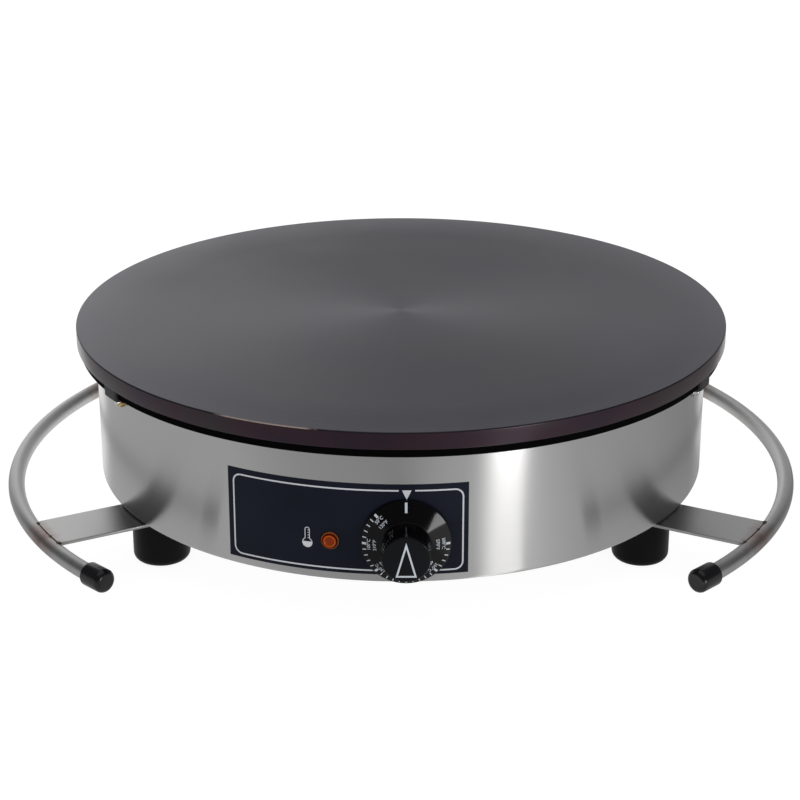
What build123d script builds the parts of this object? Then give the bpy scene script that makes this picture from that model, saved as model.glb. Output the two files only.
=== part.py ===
from build123d import *
from math import cos, degrees, radians, sin, tan
import os

# Electric crepe maker: a round cast-iron hot plate on a stainless ring casing, with two curved side handles.
# Millimetres. +Z is up and the floor is z = 0. The machine's axis is x = y = 0 and its user stands at -Y.
# Directions round the axis are given in degrees from the front, positive towards +X.

# ---- Driving dimensions ----

# Heights of the stack, from the floor up.
foot_height = 29.6
strap_thickness = 2.0
casing_height = 78.0
lug_gap = 0.6
lug_drop = 1.1
lip_height = 5.2
plate_edge_height = 10.2

# Cooking plate.
plate_radius = 200.0
plate_edge_break = 0.6
lip_inset = 2.0
skirt_wall = 5.0
skirt_clearance = 1.4
skirt_drop = 12.0
lug_count = 3
lug_turn = 2.8
lug_width = 15.5
lug_corner = 1.0
lug_boss_width = 20.0
lug_boss_depth = 12.0
lug_boss_drop = 9.0
lug_stud = 5.0
lug_stud_grip = 6.0
lug_stud_rounding = 1.0
washers_per_lug = 2
stud_boss_radius = 9.0
stud_floor = 4.0

# Casing: a drawn stainless ring with a rolled rim and an inward flange.
plate_overhang = 11.6
casing_wall = 0.8
rim_bead = 2.0
rim_bead_height = 2.4
flange_width = 38.0
flange_bend = 3.0

# Base plate.
base_thickness = 1.0
vent_count = 16
vent_length = 34.0
vent_width = 4.0
vent_margin = 41.4

# Handles, straps and feet.
handle_standoff = 53.6
handle_tube = 10.0
handle_tube_wall = 1.2
handle_half_angle = 46.2
cap_radius = 7.0
cap_length = 16.0
cap_end_wall = 3.4
cap_rounding = 3.2
strap_direction = 31.5
rear_strap_direction = 36.0
strap_skew = 3.4
strap_width = 34.6
strap_tail = 23.0
strap_weld_land = 2.2
strap_corner = 4.0
foot_inset = 19.4
foot_radius = 17.1
foot_rounding = 5.0
foot_recess_radius = 8.0
foot_recess_depth = 14.0

# Heating element: one tube bent into two loops that are joined by a U-bend at the rear.
element_tube = 8.5
element_margin = 20.0
element_loop_gap = 50.0
element_opening_angle = 17.0
element_elbow = 12.0
element_terminal_drop = 4.0
insulator_height = 7.0
insulator_collar = 2.4
insulator_lip = 1.0
terminal_pin = 4.0
terminal_pin_length = 11.0
eyelets_per_pin = 2

# Clamps, studs, insulation and pan under the plate.
stud_count = 3
stud_diameter = 6.0
stud_tail = 3.0
clamp_width = 22.0
clamp_length = 74.0
clamp_thickness = 3.0
insulation_gap = 1.7
pan_headroom = 6.6
pan_inset = 18.4
pan_wall = 0.8
pan_rim_margin = 3.0
pan_bend = 3.0
leg_hole_clearance = 2.2

# Thermostat with its bulb and capillary.
knob_offset = 2.8
thermostat_lift = 5.3
spindle_diameter = 6.0
spindle_flat_depth = 1.5
spindle_flat_length = 13.0
spindle_collar_radius = 5.0
spindle_collar_thickness = 2.0
bushing_diameter = 10.0
bushing_length = 5.0
thermostat_width = 36.0
thermostat_tall = 38.0
thermostat_cup_depth = 11.0
thermostat_cup_wall = 1.2
thermostat_base_depth = 10.0
thermostat_setback = 9.0
thermostat_corner = 4.0
thermostat_screw_spacing = 28.0
tag_width = 6.3
tag_thickness = 0.8
tag_length = 9.0
tag_column_offset = 9.0
tag_row_offset = 12.0
bracket_thickness = 1.5
bracket_width = 56.0
bracket_edge = 3.7
bracket_foot = 16.0
bracket_screw_setback = 10.7
bracket_screw_spacing = 37.4
bulb_diameter = 6.0
bulb_length = 76.0
bulb_margin = 28.0
capillary_offset = 14.0
capillary_diameter = 1.6
capillary_bend = 7.0
capillary_turn = 3.4
capillary_end_bend = 2.2
capillary_lead = 10.0
capillary_rise = 3.0
capillary_hole_clearance = 1.2
clip_thickness = 1.0
clip_width = 12.0
clip_ear = 9.0
clip_setback = 32.0

# Knob.
knob_gap = 0.55
knob_skirt_radius = 25.1
knob_skirt_edge = 1.3
knob_cone_radius = 13.9
knob_cone_depth = 4.6
knob_hub_radius = 13.4
knob_face_radius = 12.6
knob_length = 23.7
knob_face_rounding = 0.7
knob_wall = 2.0
knob_shelf = 1.0
knob_boss_radius = 5.6
knob_bore_depth = 16.0
knob_spring_thickness = 0.5
knob_spring_width = 3.6
knob_spring_length = 8.0

# Pilot lamp and control panel foil.
lamp_direction = -11.93
lamp_height = 56.5
lamp_body_radius = 3.9
lamp_body_length = 26.0
lamp_bezel_radius = 4.95
lamp_bezel_height = 1.5
lamp_bezel_edge = 0.4
lamp_lens_radius = 3.5
lamp_lens_height = 1.8
lamp_lens_edge = 0.8
lamp_lens_seat = 0.8
lamp_nut_radius = 6.6
lamp_nut_thickness = 3.0
panel_left = 101.0
panel_right = 37.4
panel_low = 37.1
panel_high = 91.5
panel_thickness = 0.3
adhesive = 0.05

# Cable inlet at the rear.
gland_height = 54.3
gland_thread_radius = 9.8
gland_hex = 24.0
gland_flange = 5.0
gland_tail = 9.0
gland_neck_radius = 8.2
gland_neck = 9.0
gland_bore_radius = 6.6
gland_dome_length = 17.2
gland_dome_radius = 11.4
gland_dome_grip = 10.0
gland_mouth_radius = 5.4
gland_insert_wall = 1.6
gland_seal_thickness = 1.6
gland_seal_radius = 13.0
locknut_thickness = 5.0
locknut_hex = 26.0

# Mains terminal block and earth stud on the base plate.
block_length = 36.0
block_width = 20.0
block_height = 20.0
block_inset = 22.8
block_poles = 3
block_pole_pitch = 11.0
block_screw_radius = 2.4
block_screw_pitch = 10.0
block_screw_depth = 5.0
block_wire_height = 6.7
earth_offset = 52.0
earth_diameter = 5.0
earth_length = 16.0

# Leads inside the casing, with push-on sleeves and eyelets at their ends.
lead_diameter = 3.2
lamp_lead_diameter = 1.8
lamp_lead_spacing = 4.0
lead_bend = 22.0
sleeve_wall = 1.2
sleeve_tail = 4.0
eyelet_radius = 4.2
eyelet_reach = 6.4
eyelet_thickness = 1.0
eyelet_tongue = 2.6
eyelet_crimp = 5.2
lamp_lead_run = 18.0
lead_turn = 18.0
block_lead_grip = 4.0
bend_share = 0.45

# Fasteners.
m4_diameter = 4.0
m4_head = 7.6
m4_head_height = 2.6
m4_hex = 7.0
m4_hex_height = 3.2
m5_hex = 8.0
m5_hex_height = 4.0
m6_diameter = 6.0
m6_head = 12.0
m6_head_height = 4.0
m6_hex = 10.0
m6_hex_height = 5.0
washer_thickness = 1.0
screw_tail = 2.0
screw_edge_break = 0.6

# Fits.
thread_clearance = 0.05
hole_clearance = 0.25
running_clearance = 0.05
seat_clearance = 0.1
loose_clearance = 0.4
plug_in = 1.0
drill_depth = 3.0

# ---- Levels and radii that follow from them ----

casing_bottom = foot_height + strap_thickness
casing_top = casing_bottom + casing_height
lug_bottom = casing_top + lug_gap
lip_bottom = lug_bottom + lug_drop
plate_bottom = lip_bottom + lip_height
plate_top = plate_bottom + plate_edge_height
casing_radius = plate_radius - plate_overhang
casing_inner = casing_radius - casing_wall
flange_inner = casing_radius - flange_width
rim_inner = casing_radius - rim_bead
handle_radius = casing_radius + handle_standoff
foot_circle = casing_radius - foot_inset
pan_radius = casing_radius - pan_inset
element_outer_loop = pan_radius - element_margin
element_inner_loop = element_outer_loop - element_loop_gap
stud_circle = element_outer_loop - element_loop_gap / 2
skirt_radius = rim_inner - skirt_clearance
lug_stud_height = lug_bottom - seat_clearance - m5_hex / 2
base_bottom = casing_bottom + casing_wall
base_top = base_bottom + base_thickness
element_level = plate_bottom - seat_clearance - element_tube / 2
clamp_top = element_level - element_tube / 2 - seat_clearance
clamp_bottom = clamp_top - clamp_thickness
nut_stack = washer_thickness + m6_hex_height
insulation_top = clamp_bottom - nut_stack - insulation_gap
knob_height = base_top + thermostat_lift + thermostat_tall / 2
thermostat_top = knob_height + thermostat_tall / 2
pan_bottom = thermostat_top + pan_headroom
pan_top = pan_bottom + pan_wall
stud_bottom = pan_bottom - nut_stack - stud_tail
leg_bottom = pan_bottom - element_terminal_drop
bulb_front = -element_inner_loop + bulb_margin
bulb_level = plate_bottom - seat_clearance - bulb_diameter / 2
capillary_drop_y = bulb_front - capillary_lead
bracket_front = -casing_inner + thermostat_setback
cup_front = bracket_front + bracket_thickness
cup_back = cup_front + thermostat_cup_depth
thermostat_back = cup_back + thermostat_base_depth
panel_radius = casing_radius + adhesive + panel_thickness
knob_back = -panel_radius - knob_gap
knob_front = knob_back - knob_length
spindle_tip = knob_back - knob_bore_depth + loose_clearance
tube_level = casing_bottom - handle_tube / 2
block_y = flange_inner - block_inset
lead_level = base_top + block_wire_height
eyelet_pitch = eyelet_thickness + seat_clearance
earth_eyelet_top = base_top + m5_hex_height + eyelet_pitch
parts = {}


# ---- Small helpers ----


def turned(shape, from_front):
    """The shape, drawn at the front of the machine, carried round its axis."""
    return Rot(0, 0, from_front) * shape


def disc(radius, low, high, x=0.0, y=0.0):
    return Pos(x, y, low) * Cylinder(radius, high - low, align=(Align.CENTER, Align.CENTER, Align.MIN))


def ring(outer, inner, low, high, x=0.0, y=0.0):
    return disc(outer, low, high, x, y) - disc(inner, low, high, x, y)


def block(low, high):
    """A box between two corners."""
    size = [top - bottom for bottom, top in zip(low, high)]
    middle = [(top + bottom) / 2 for bottom, top in zip(low, high)]
    return Pos(*middle) * Box(*size)


def outward(x, y, z, direction=0.0):
    """A plane at a point whose +Z points away from the machine's axis in that direction from the front."""
    away = Vector(sin(radians(direction)), -cos(radians(direction)), 0)
    return Plane(origin=(x, y, z), x_dir=away.cross(Vector(0, 0, 1)), z_dir=away)


def on_wall(radius, height, direction):
    """An outward plane on a cylinder about the machine's axis."""
    angle = radians(direction)
    return outward(radius * sin(angle), -radius * cos(angle), height, direction)


def rod(plane, radius, start, end):
    """A cylinder along a plane's normal, from start to end."""
    return plane * disc(radius, start, end)


def tube(plane, outer, inner, start, end):
    return plane * ring(outer, inner, start, end)


def y_rod(radius, front, back, x=knob_offset, z=knob_height):
    """A cylinder along Y between two levels of y, on the thermostat's axis unless told otherwise."""
    return rod(outward(x, front, z), radius, front - back, 0)


def hexagon(plane, across_flats, start, end, bore=0.0):
    """A hexagonal prism, with a hole where it is a nut."""
    outline = RegularPolygon(across_flats / 2, 6, major_radius=False)
    prism = extrude(plane.offset(start) * outline, end - start)
    return prism - rod(plane, bore, start, end) if bore else prism


def revolved(plane, profile):
    """A closed outline of (radius, height) points, revolved about the plane's normal."""
    radial = Plane(plane.origin, x_dir=plane.x_dir, z_dir=-plane.y_dir)
    face = radial * make_face(Polyline(*profile, close=True))
    return revolve(face, Axis(plane.origin, plane.z_dir))


def button(plane, radius, height, edge_break):
    """A disc that stands on the plane, with the edge of its far face broken."""
    outline = [(0, 0), (radius, 0), (radius, height - edge_break), (radius - edge_break, height), (0, height)]
    return revolved(plane, outline)


def washer(plane, hole, across, start):
    """A flat washer whose lower face is at start."""
    return tube(plane, across / 2, hole / 2 + hole_clearance, start, start + washer_thickness)


def pan_screw(plane, diameter, head, head_height, length):
    """A cylinder-head screw: the head stands on the plane and the shank goes down from it."""
    return button(plane, head / 2, head_height, screw_edge_break) + rod(plane, diameter / 2, -length, 0)


def m4_screw(plane, length):
    return pan_screw(plane, m4_diameter, m4_head, m4_head_height, length)


def bent_tube(radius, tube_radius, level, start, end):
    """Part of a ring of round tube about the machine's axis, between two directions from the front."""
    section = outward(0, -radius, level).location * Rot(0, 90, 0) * Circle(tube_radius)
    return turned(revolve(section, Axis.Z, end - start), start)


def save(name, *solids):
    parts[name] = Compound(children=list(solids)) if len(solids) > 1 else solids[0]


# ---- Cooking plate and what hangs under it ----

stud_directions = [360 * i / stud_count for i in range(stud_count)]
stud_places = [(stud_circle * sin(radians(a)), -stud_circle * cos(radians(a))) for a in stud_directions]
lug_directions = [lug_turn + 360 * (i + 1 / 2) / lug_count for i in range(lug_count)]


def lug():
    """A cast lug at the front: flush with the rim, over the casing's edge and down inside as a boss."""
    half = lug_width / 2
    pad = block((-half, -plate_radius, lug_bottom), (half, -skirt_radius + skirt_wall, plate_bottom))
    pad = fillet(pad.edges().filter_by(Axis.Z).group_by(Axis.Y)[0], lug_corner)
    pad &= disc(plate_radius, lug_bottom, plate_bottom)
    half = lug_boss_width / 2
    outer = rim_inner - seat_clearance
    low = lug_stud_height - lug_boss_drop
    boss = block((-half, -outer, low), (half, -outer + lug_boss_depth, plate_bottom))
    boss &= disc(outer, low, plate_bottom)
    return pad + boss


def lug_bore():
    """The tapped hole through the boss of a lug at the front."""
    front = -rim_inner - plug_in
    return y_rod(lug_stud / 2 + thread_clearance, front, front + lug_boss_depth, 0, lug_stud_height)


def cooking_plate():
    """The plate with its rim, the lip under the rim, the skirt inside the casing, lugs and stud bosses."""
    body = disc(plate_radius, plate_bottom, plate_top)
    body = chamfer(body.edges().filter_by(GeomType.CIRCLE), plate_edge_break)
    inner = skirt_radius - skirt_wall
    body += ring(plate_radius - lip_inset, inner, lip_bottom, plate_bottom)
    body += ring(skirt_radius, inner, plate_bottom - skirt_drop, plate_bottom)
    for direction in lug_directions:
        body += turned(lug(), direction)
        body -= turned(lug_bore(), direction)
    for x, y in stud_places:
        body += disc(stud_boss_radius, clamp_top, plate_bottom, x, y)
        body -= disc(stud_diameter / 2 + thread_clearance, clamp_top, plate_top - stud_floor, x, y)
    hole = m4_diameter / 2 + thread_clearance
    return body - disc(hole, plate_bottom, plate_bottom + plate_edge_height / 2, clip_screw_x, clip_y)


def element_leg(radius):
    """The elbow and leg at the end of a loop, drawn at the front: it heads towards +X, then drops."""
    section = Plane.YZ * Pos(-radius, element_level) * Circle(element_tube / 2)
    elbow = revolve(section, Axis((0, 0, element_level - element_elbow), (0, 1, 0)), 90)
    leg = disc(element_tube / 2, leg_bottom, element_level - element_elbow, element_elbow, -radius)
    return elbow + leg


def heating_element():
    """Two loops, a U-bend on one side of the rear and two legs on the other."""
    low, high = -180 + element_opening_angle, 180 - element_opening_angle
    body = bent_tube(element_outer_loop, element_tube / 2, element_level, low, high)
    body += bent_tube(element_inner_loop, element_tube / 2, element_level, low, high)
    middle = (element_outer_loop + element_inner_loop) / 2
    section = Plane.YZ * Pos(-element_outer_loop, element_level) * Circle(element_tube / 2)
    bend = revolve(section, Axis((0, -middle, 0), (0, 0, 1)), 180)
    body += turned(bend, high)
    for radius in (element_outer_loop, element_inner_loop):
        body += turned(mirror(element_leg(radius), Plane.YZ), low)
    return body


def leg_place(radius):
    """Where the leg of a loop comes down."""
    drawn = Vector(-element_elbow, -radius, 0).rotate(Axis.Z, -180 + element_opening_angle)
    return drawn.X, drawn.Y


leg_places = [leg_place(radius) for radius in (element_outer_loop, element_inner_loop)]
bead_bottom = leg_bottom - insulator_height
eyelet_top = bead_bottom - m4_hex_height


def element_insulator(x, y):
    """A ceramic bead on the end of a leg, with a wider foot."""
    bore = terminal_pin / 2 + seat_clearance
    bead = ring(element_tube / 2, bore, bead_bottom, leg_bottom, x, y)
    collar = element_tube / 2 + insulator_lip
    return bead + ring(collar, bore, bead_bottom, bead_bottom + insulator_collar, x, y)


def element_terminal(x, y):
    """A threaded pin with a hexagonal shoulder against its ceramic bead."""
    pin = disc(terminal_pin / 2, bead_bottom - terminal_pin_length, leg_bottom, x, y)
    return pin + hexagon(Plane((x, y, bead_bottom)), m4_hex, -m4_hex_height, 0)


def terminal_nut(x, y):
    """The nut that holds the eyelets of the leads against the shoulder."""
    level = eyelet_top - eyelets_per_pin * eyelet_pitch
    return hexagon(Plane((x, y, level)), m4_hex, -m4_hex_height, 0, terminal_pin / 2 + thread_clearance)


def clamp_bar():
    """A flat bar with round ends that presses both loops against the plate, drawn at the front."""
    outline = Pos(0, -stud_circle) * Rot(0, 0, 90) * SlotOverall(clamp_length, clamp_width)
    bar = extrude(Plane.XY.offset(clamp_bottom) * outline, clamp_thickness)
    return bar - disc(stud_diameter / 2 + hole_clearance, clamp_bottom, clamp_top, 0, -stud_circle)


def insulation_disc():
    body = disc(pan_radius - pan_wall - loose_clearance, pan_top, insulation_top)
    body = chamfer(body.edges().group_by(Axis.Z)[0], pan_bend)
    for x, y in stud_places:
        body -= disc(stud_diameter / 2 + loose_clearance, pan_top, insulation_top, x, y)
    for x, y in leg_places:
        body -= disc(element_tube / 2 + loose_clearance, pan_top, insulation_top, x, y)
    hole = capillary_diameter / 2 + loose_clearance
    return body - disc(hole, pan_top, insulation_top, capillary_offset, capillary_drop_y)


def reflector_pan():
    """A shallow pressed pan that holds the insulation up."""
    rim = insulation_top + pan_rim_margin
    body = disc(pan_radius, pan_bottom, rim)
    body = fillet(body.edges().group_by(Axis.Z)[0], pan_bend)
    hollow = disc(pan_radius - pan_wall, pan_top, rim)
    body -= fillet(hollow.edges().group_by(Axis.Z)[0], pan_bend - pan_wall)
    for x, y in stud_places:
        body -= disc(stud_diameter / 2 + hole_clearance, pan_bottom, rim, x, y)
    for x, y in leg_places:
        body -= disc(element_tube / 2 + leg_hole_clearance, pan_bottom, rim, x, y)
    hole = capillary_diameter / 2 + capillary_hole_clearance
    return body - disc(hole, pan_bottom, rim, capillary_offset, capillary_drop_y)


def under_plate():
    save("heating_element", heating_element())
    save("element_insulators", *[element_insulator(x, y) for x, y in leg_places])
    terminals = [element_terminal(x, y) for x, y in leg_places]
    save("element_terminals", *terminals, *[terminal_nut(x, y) for x, y in leg_places])
    save("clamp_bars", *[turned(clamp_bar(), a) for a in stud_directions])
    stud_top = plate_top - stud_floor - seat_clearance
    save("plate_studs", *[disc(stud_diameter / 2, stud_bottom, stud_top, x, y) for x, y in stud_places])
    bore = stud_diameter / 2 + thread_clearance
    nuts, washers = [], []
    for x, y in stud_places:
        for level in (clamp_bottom, pan_bottom):
            under = Plane((x, y, level - washer_thickness))
            washers.append(washer(under, stud_diameter, m6_head, 0))
            nuts.append(hexagon(under, m6_hex, -m6_hex_height, 0, bore))
    save("stud_washers", *washers)
    save("stud_nuts", *nuts)
    save("insulation_disc", insulation_disc())
    save("reflector_pan", reflector_pan())


# ---- Casing, base plate and feet ----

# Each corner's side (+1 is +X), its end (+1 is +Y) and the direction of its strap, in degrees from +X.
corners = {
    "front_left": (-1, -1, 180 + strap_direction),
    "front_right": (1, -1, -strap_direction),
    "rear_left": (-1, 1, 180 - rear_strap_direction),
    "rear_right": (1, 1, rear_strap_direction),
}
foot_places = [
    (foot_circle * cos(radians(direction)), foot_circle * sin(radians(direction)))
    for side, end, direction in corners.values()
]
screw_hole = m6_diameter / 2 + hole_clearance


def wall_hole(height, direction, radius):
    """What a round hole takes from the wall and the panel foil."""
    return rod(on_wall(casing_radius, height, direction), radius, -drill_depth, plug_in)


def spindle_hole():
    """The hole for the thermostat's bushing and spindle, which stands beside the middle of the front."""
    radius = bushing_diameter / 2 + loose_clearance
    return y_rod(radius, -casing_radius - plug_in, -casing_radius + drill_depth)


def casing_ring():
    """Wall, rolled rim and flange as one turned sheet, then the holes."""
    wall = disc(casing_radius, casing_bottom, casing_top)
    wall = fillet(wall.edges().group_by(Axis.Z)[0], flange_bend)
    wall = fillet(wall.edges().group_by(Axis.Z)[-1], rim_bead / 2)
    hollow = disc(casing_inner, base_bottom, casing_top - rim_bead_height)
    wall -= fillet(hollow.edges().group_by(Axis.Z)[0], flange_bend - casing_wall)
    wall -= disc(rim_inner, casing_top - rim_bead_height, casing_top)
    wall -= disc(flange_inner, casing_bottom, base_bottom)
    for direction in lug_directions:
        wall -= wall_hole(lug_stud_height, direction, lug_stud / 2 + hole_clearance)
    wall -= spindle_hole()
    wall -= wall_hole(lamp_height, lamp_direction, lamp_body_radius + hole_clearance)
    wall -= wall_hole(gland_height, 180, gland_thread_radius + hole_clearance)
    for x, y in foot_places:
        wall -= disc(screw_hole, casing_bottom, base_bottom, x, y)
    for x in bracket_screw_places:
        wall -= disc(m4_diameter / 2 + hole_clearance, casing_bottom, base_bottom, x, bracket_screw_y)
    return wall


def base_plate():
    """The bottom sheet, which lies on the casing's flange and has rings of vent slots."""
    edge = casing_inner - flange_bend
    body = disc(edge, base_bottom, base_top)
    half = vent_width / 2
    reach = flange_inner - vent_margin
    slot = block((-half, -reach, base_bottom), (half, -reach + vent_length, base_top))
    for i in range(vent_count):
        body -= turned(slot, 360 * (i + 1 / 2) / vent_count)
    for x, y in foot_places:
        body -= disc(screw_hole, base_bottom, base_top, x, y)
    for x in bracket_screw_places:
        body -= disc(m4_diameter / 2 + thread_clearance, base_bottom, base_top, x, bracket_screw_y)
    body -= disc(m4_diameter / 2 + thread_clearance, base_bottom, base_top, 0, block_y)
    return body - disc(earth_diameter / 2 + hole_clearance, base_bottom, base_top, earth_offset, block_y)


def foot(x, y):
    """A rubber foot with a rounded sole edge and a recess for its screw head."""
    body = disc(foot_radius, 0, foot_height, x, y)
    body = fillet(body.edges().group_by(Axis.Z)[0], foot_rounding)
    body -= disc(foot_recess_radius, 0, foot_recess_depth, x, y)
    return body - disc(screw_hole, foot_recess_depth, foot_height, x, y)


def handle_arc(side, radius):
    """A round bar of that radius along the whole of one side's handle; side is +1 for +X."""
    start, end = side * 90 - handle_half_angle, side * 90 + handle_half_angle
    return bent_tube(handle_radius, radius, tube_level, start, end)


def strap(side, end, direction, x, y):
    """A flat strip over a foot, turned a little towards the middle of its handle.

    Its outer end follows the handle tube, and is coped to lie against it.
    """
    half = strap_width / 2
    body = block((-strap_tail, -half, foot_height), (foot_inset + handle_standoff, half, casing_bottom))
    body = fillet(body.edges().filter_by(Axis.Z).group_by(Axis.X)[0], strap_corner)
    body -= disc(screw_hole, foot_height, casing_bottom)
    body = Pos(x, y, 0) * Rot(0, 0, direction - side * end * strap_skew) * body
    body &= disc(handle_radius - strap_weld_land, foot_height, casing_bottom)
    return body - handle_arc(side, handle_tube / 2 + seat_clearance)


def handle_tube_solid(side):
    """A round tube bent to an arc about the machine's axis."""
    return handle_arc(side, handle_tube / 2) - handle_arc(side, handle_tube / 2 - handle_tube_wall)


def end_cap():
    """A rubber cap, drawn with its open end towards -X and its blind end past the front."""
    arc = degrees(cap_length / handle_radius)
    wall_arc = degrees(cap_end_wall / handle_radius)
    body = bent_tube(handle_radius, cap_radius, tube_level, 0, arc)
    end = body.faces().filter_by(GeomType.PLANE).sort_by(Axis.X)[-1]
    body = fillet(end.edges(), cap_rounding)
    bore = handle_tube / 2 + seat_clearance
    return body - bent_tube(handle_radius, bore, tube_level, -arc, arc - wall_arc)


def placed_cap(side, end):
    """An end cap pushed onto a tube's end until the tube meets its blind end."""
    arc = degrees((cap_length - cap_end_wall - seat_clearance) / handle_radius)
    body = turned(end_cap(), 90 + handle_half_angle - arc)
    if end < 0:
        body = mirror(body, Plane.XZ)
    return body if side > 0 else mirror(body, Plane.YZ)


def casing_and_supports():
    save("casing_ring", casing_ring())
    save("base_plate", base_plate())
    foot_screw_length = base_top - foot_recess_depth + nut_stack + screw_tail
    screws, nuts, washers = [], [], []
    for (name, (side, end, direction)), (x, y) in zip(corners.items(), foot_places):
        save(f"foot_{name}", foot(x, y))
        save(f"handle_strap_{name}", strap(side, end, direction, x, y))
        save(f"end_cap_{name}", placed_cap(side, end))
        under = Plane((x, y, foot_recess_depth), x_dir=(1, 0, 0), z_dir=(0, 0, -1))
        screws.append(pan_screw(under, m6_diameter, m6_head, m6_head_height, foot_screw_length))
        over = Plane((x, y, base_top))
        washers.append(washer(over, m6_diameter, m6_head, 0))
        nuts.append(hexagon(over, m6_hex, washer_thickness, nut_stack, m6_diameter / 2 + thread_clearance))
    save("foot_screws", *screws)
    save("foot_washers", *washers)
    save("foot_nuts", *nuts)
    save("handle_tube_left", handle_tube_solid(-1))
    save("handle_tube_right", handle_tube_solid(1))


def lug_fasteners():
    """A stud in each lug's boss, with washers and the nut that the lug rests on outside the wall."""
    pitch = washer_thickness + adhesive
    nut_start = washers_per_lug * pitch
    end = nut_start + m5_hex_height + screw_tail
    start = -rim_bead - seat_clearance - adhesive - lug_stud_grip
    bore = lug_stud / 2 + thread_clearance
    fasteners, washers = [], []
    for direction in lug_directions:
        wall = on_wall(casing_radius + adhesive, lug_stud_height, direction)
        fasteners.append(button(wall.offset(start), lug_stud / 2, end - start, lug_stud_rounding))
        fasteners.append(hexagon(wall, m5_hex, nut_start, nut_start + m5_hex_height, bore))
        washers += [washer(wall, lug_stud, m5_hex, i * pitch) for i in range(washers_per_lug)]
    save("lug_screws", *fasteners)
    save("lug_washers", *washers)


# ---- Thermostat, bulb and knob ----

bracket_screw_y = bracket_front + bracket_screw_setback
bracket_screw_places = [knob_offset + side * bracket_screw_spacing / 2 for side in (-1, 1)]
thermostat_screw_levels = [knob_height + side * thermostat_screw_spacing / 2 for side in (-1, 1)]
tag_end = thermostat_back + tag_length / 2
left_tags, right_tags = [knob_offset + side * tag_column_offset for side in (-1, 1)]
low_tags, high_tags = [knob_height + side * tag_row_offset for side in (-1, 1)]
tag_places = [(x, z) for x in (left_tags, right_tags) for z in (low_tags, high_tags)]
capillary_end_y = (cup_front + cup_back) / 2
flat_level = knob_height - spindle_diameter / 2 + spindle_flat_depth
clip_y = bulb_front + clip_setback
clip_outer = bulb_diameter / 2 + seat_clearance + clip_thickness
clip_screw_x = capillary_offset + clip_outer + clip_ear / 2


def offset_box(inset, front, back):
    """The thermostat's outline, brought in on all sides."""
    x, z = thermostat_width / 2 - inset, thermostat_tall / 2 - inset
    return block((knob_offset - x, front, knob_height - z), (knob_offset + x, back, knob_height + z))


def thermostat_cup():
    """The pressed steel front of the thermostat, with its bushing."""
    body = offset_box(0, cup_front, cup_back)
    body = fillet(body.edges().filter_by(Axis.Y), thermostat_corner)
    inside = offset_box(thermostat_cup_wall, cup_front + thermostat_cup_wall, cup_back)
    body -= fillet(inside.edges().filter_by(Axis.Y), thermostat_corner - thermostat_cup_wall)
    wall_back = cup_front + thermostat_cup_wall
    body += y_rod(bushing_diameter / 2, cup_front - bushing_length, cup_front)
    body -= y_rod(spindle_diameter / 2 + running_clearance, cup_front - bushing_length, wall_back)
    for level in thermostat_screw_levels:
        body -= y_rod(m4_diameter / 2 + thread_clearance, cup_front, wall_back, z=level)
    inlet = capillary_diameter / 2 + seat_clearance
    lid = thermostat_top - thermostat_cup_wall
    return body - disc(inlet, lid, thermostat_top, capillary_offset, capillary_end_y)


def thermostat_base():
    """The ceramic back of the thermostat, with a slot for each tag."""
    body = offset_box(0, cup_back, thermostat_back)
    body = fillet(body.edges().filter_by(Axis.Y), thermostat_corner)
    for x, z in tag_places:
        body -= tag(x, z, thermostat_back - tag_length / 2, thermostat_back, seat_clearance)
    return body


def tag(x, z, front, back, margin=0.0):
    half, thick = tag_width / 2 + margin, tag_thickness / 2 + margin
    return block((x - half, front - margin, z - thick), (x + half, back, z + thick))


def thermostat_bracket():
    """An angle bracket that stands on the base plate and holds the thermostat behind the wall."""
    half = bracket_width / 2
    low, high = knob_offset - half, knob_offset + half
    top = max(thermostat_screw_levels) + bracket_edge
    toe_back, toe_top = bracket_front + bracket_foot, base_top + bracket_thickness
    body = block((low, bracket_front, base_top), (high, cup_front, top))
    body += block((low, bracket_front, base_top), (high, toe_back, toe_top))
    body -= y_rod(bushing_diameter / 2 + hole_clearance, bracket_front, cup_front)
    hole = m4_diameter / 2 + hole_clearance
    for level in thermostat_screw_levels:
        body -= y_rod(hole, bracket_front, cup_front, z=level)
    for x in bracket_screw_places:
        body -= disc(hole, base_top, toe_top, x, bracket_screw_y)
    return body


def below_flat(front, back, drop=0.0):
    """What lies under the spindle's flat, which is on the lower side, or under a level that far below it."""
    reach = spindle_diameter
    top = flat_level - drop
    return block((knob_offset - reach, front, knob_height - reach), (knob_offset + reach, back, top))


def thermostat_spindle():
    """The shaft that the knob turns, with a collar inside the cup and a flat at its outer end."""
    collar_front = cup_front + thermostat_cup_wall + loose_clearance
    collar_back = collar_front + spindle_collar_thickness
    body = y_rod(spindle_diameter / 2, spindle_tip, collar_back)
    body += y_rod(spindle_collar_radius, collar_front, collar_back)
    return body - below_flat(spindle_tip, spindle_tip + spindle_flat_length)


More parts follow.
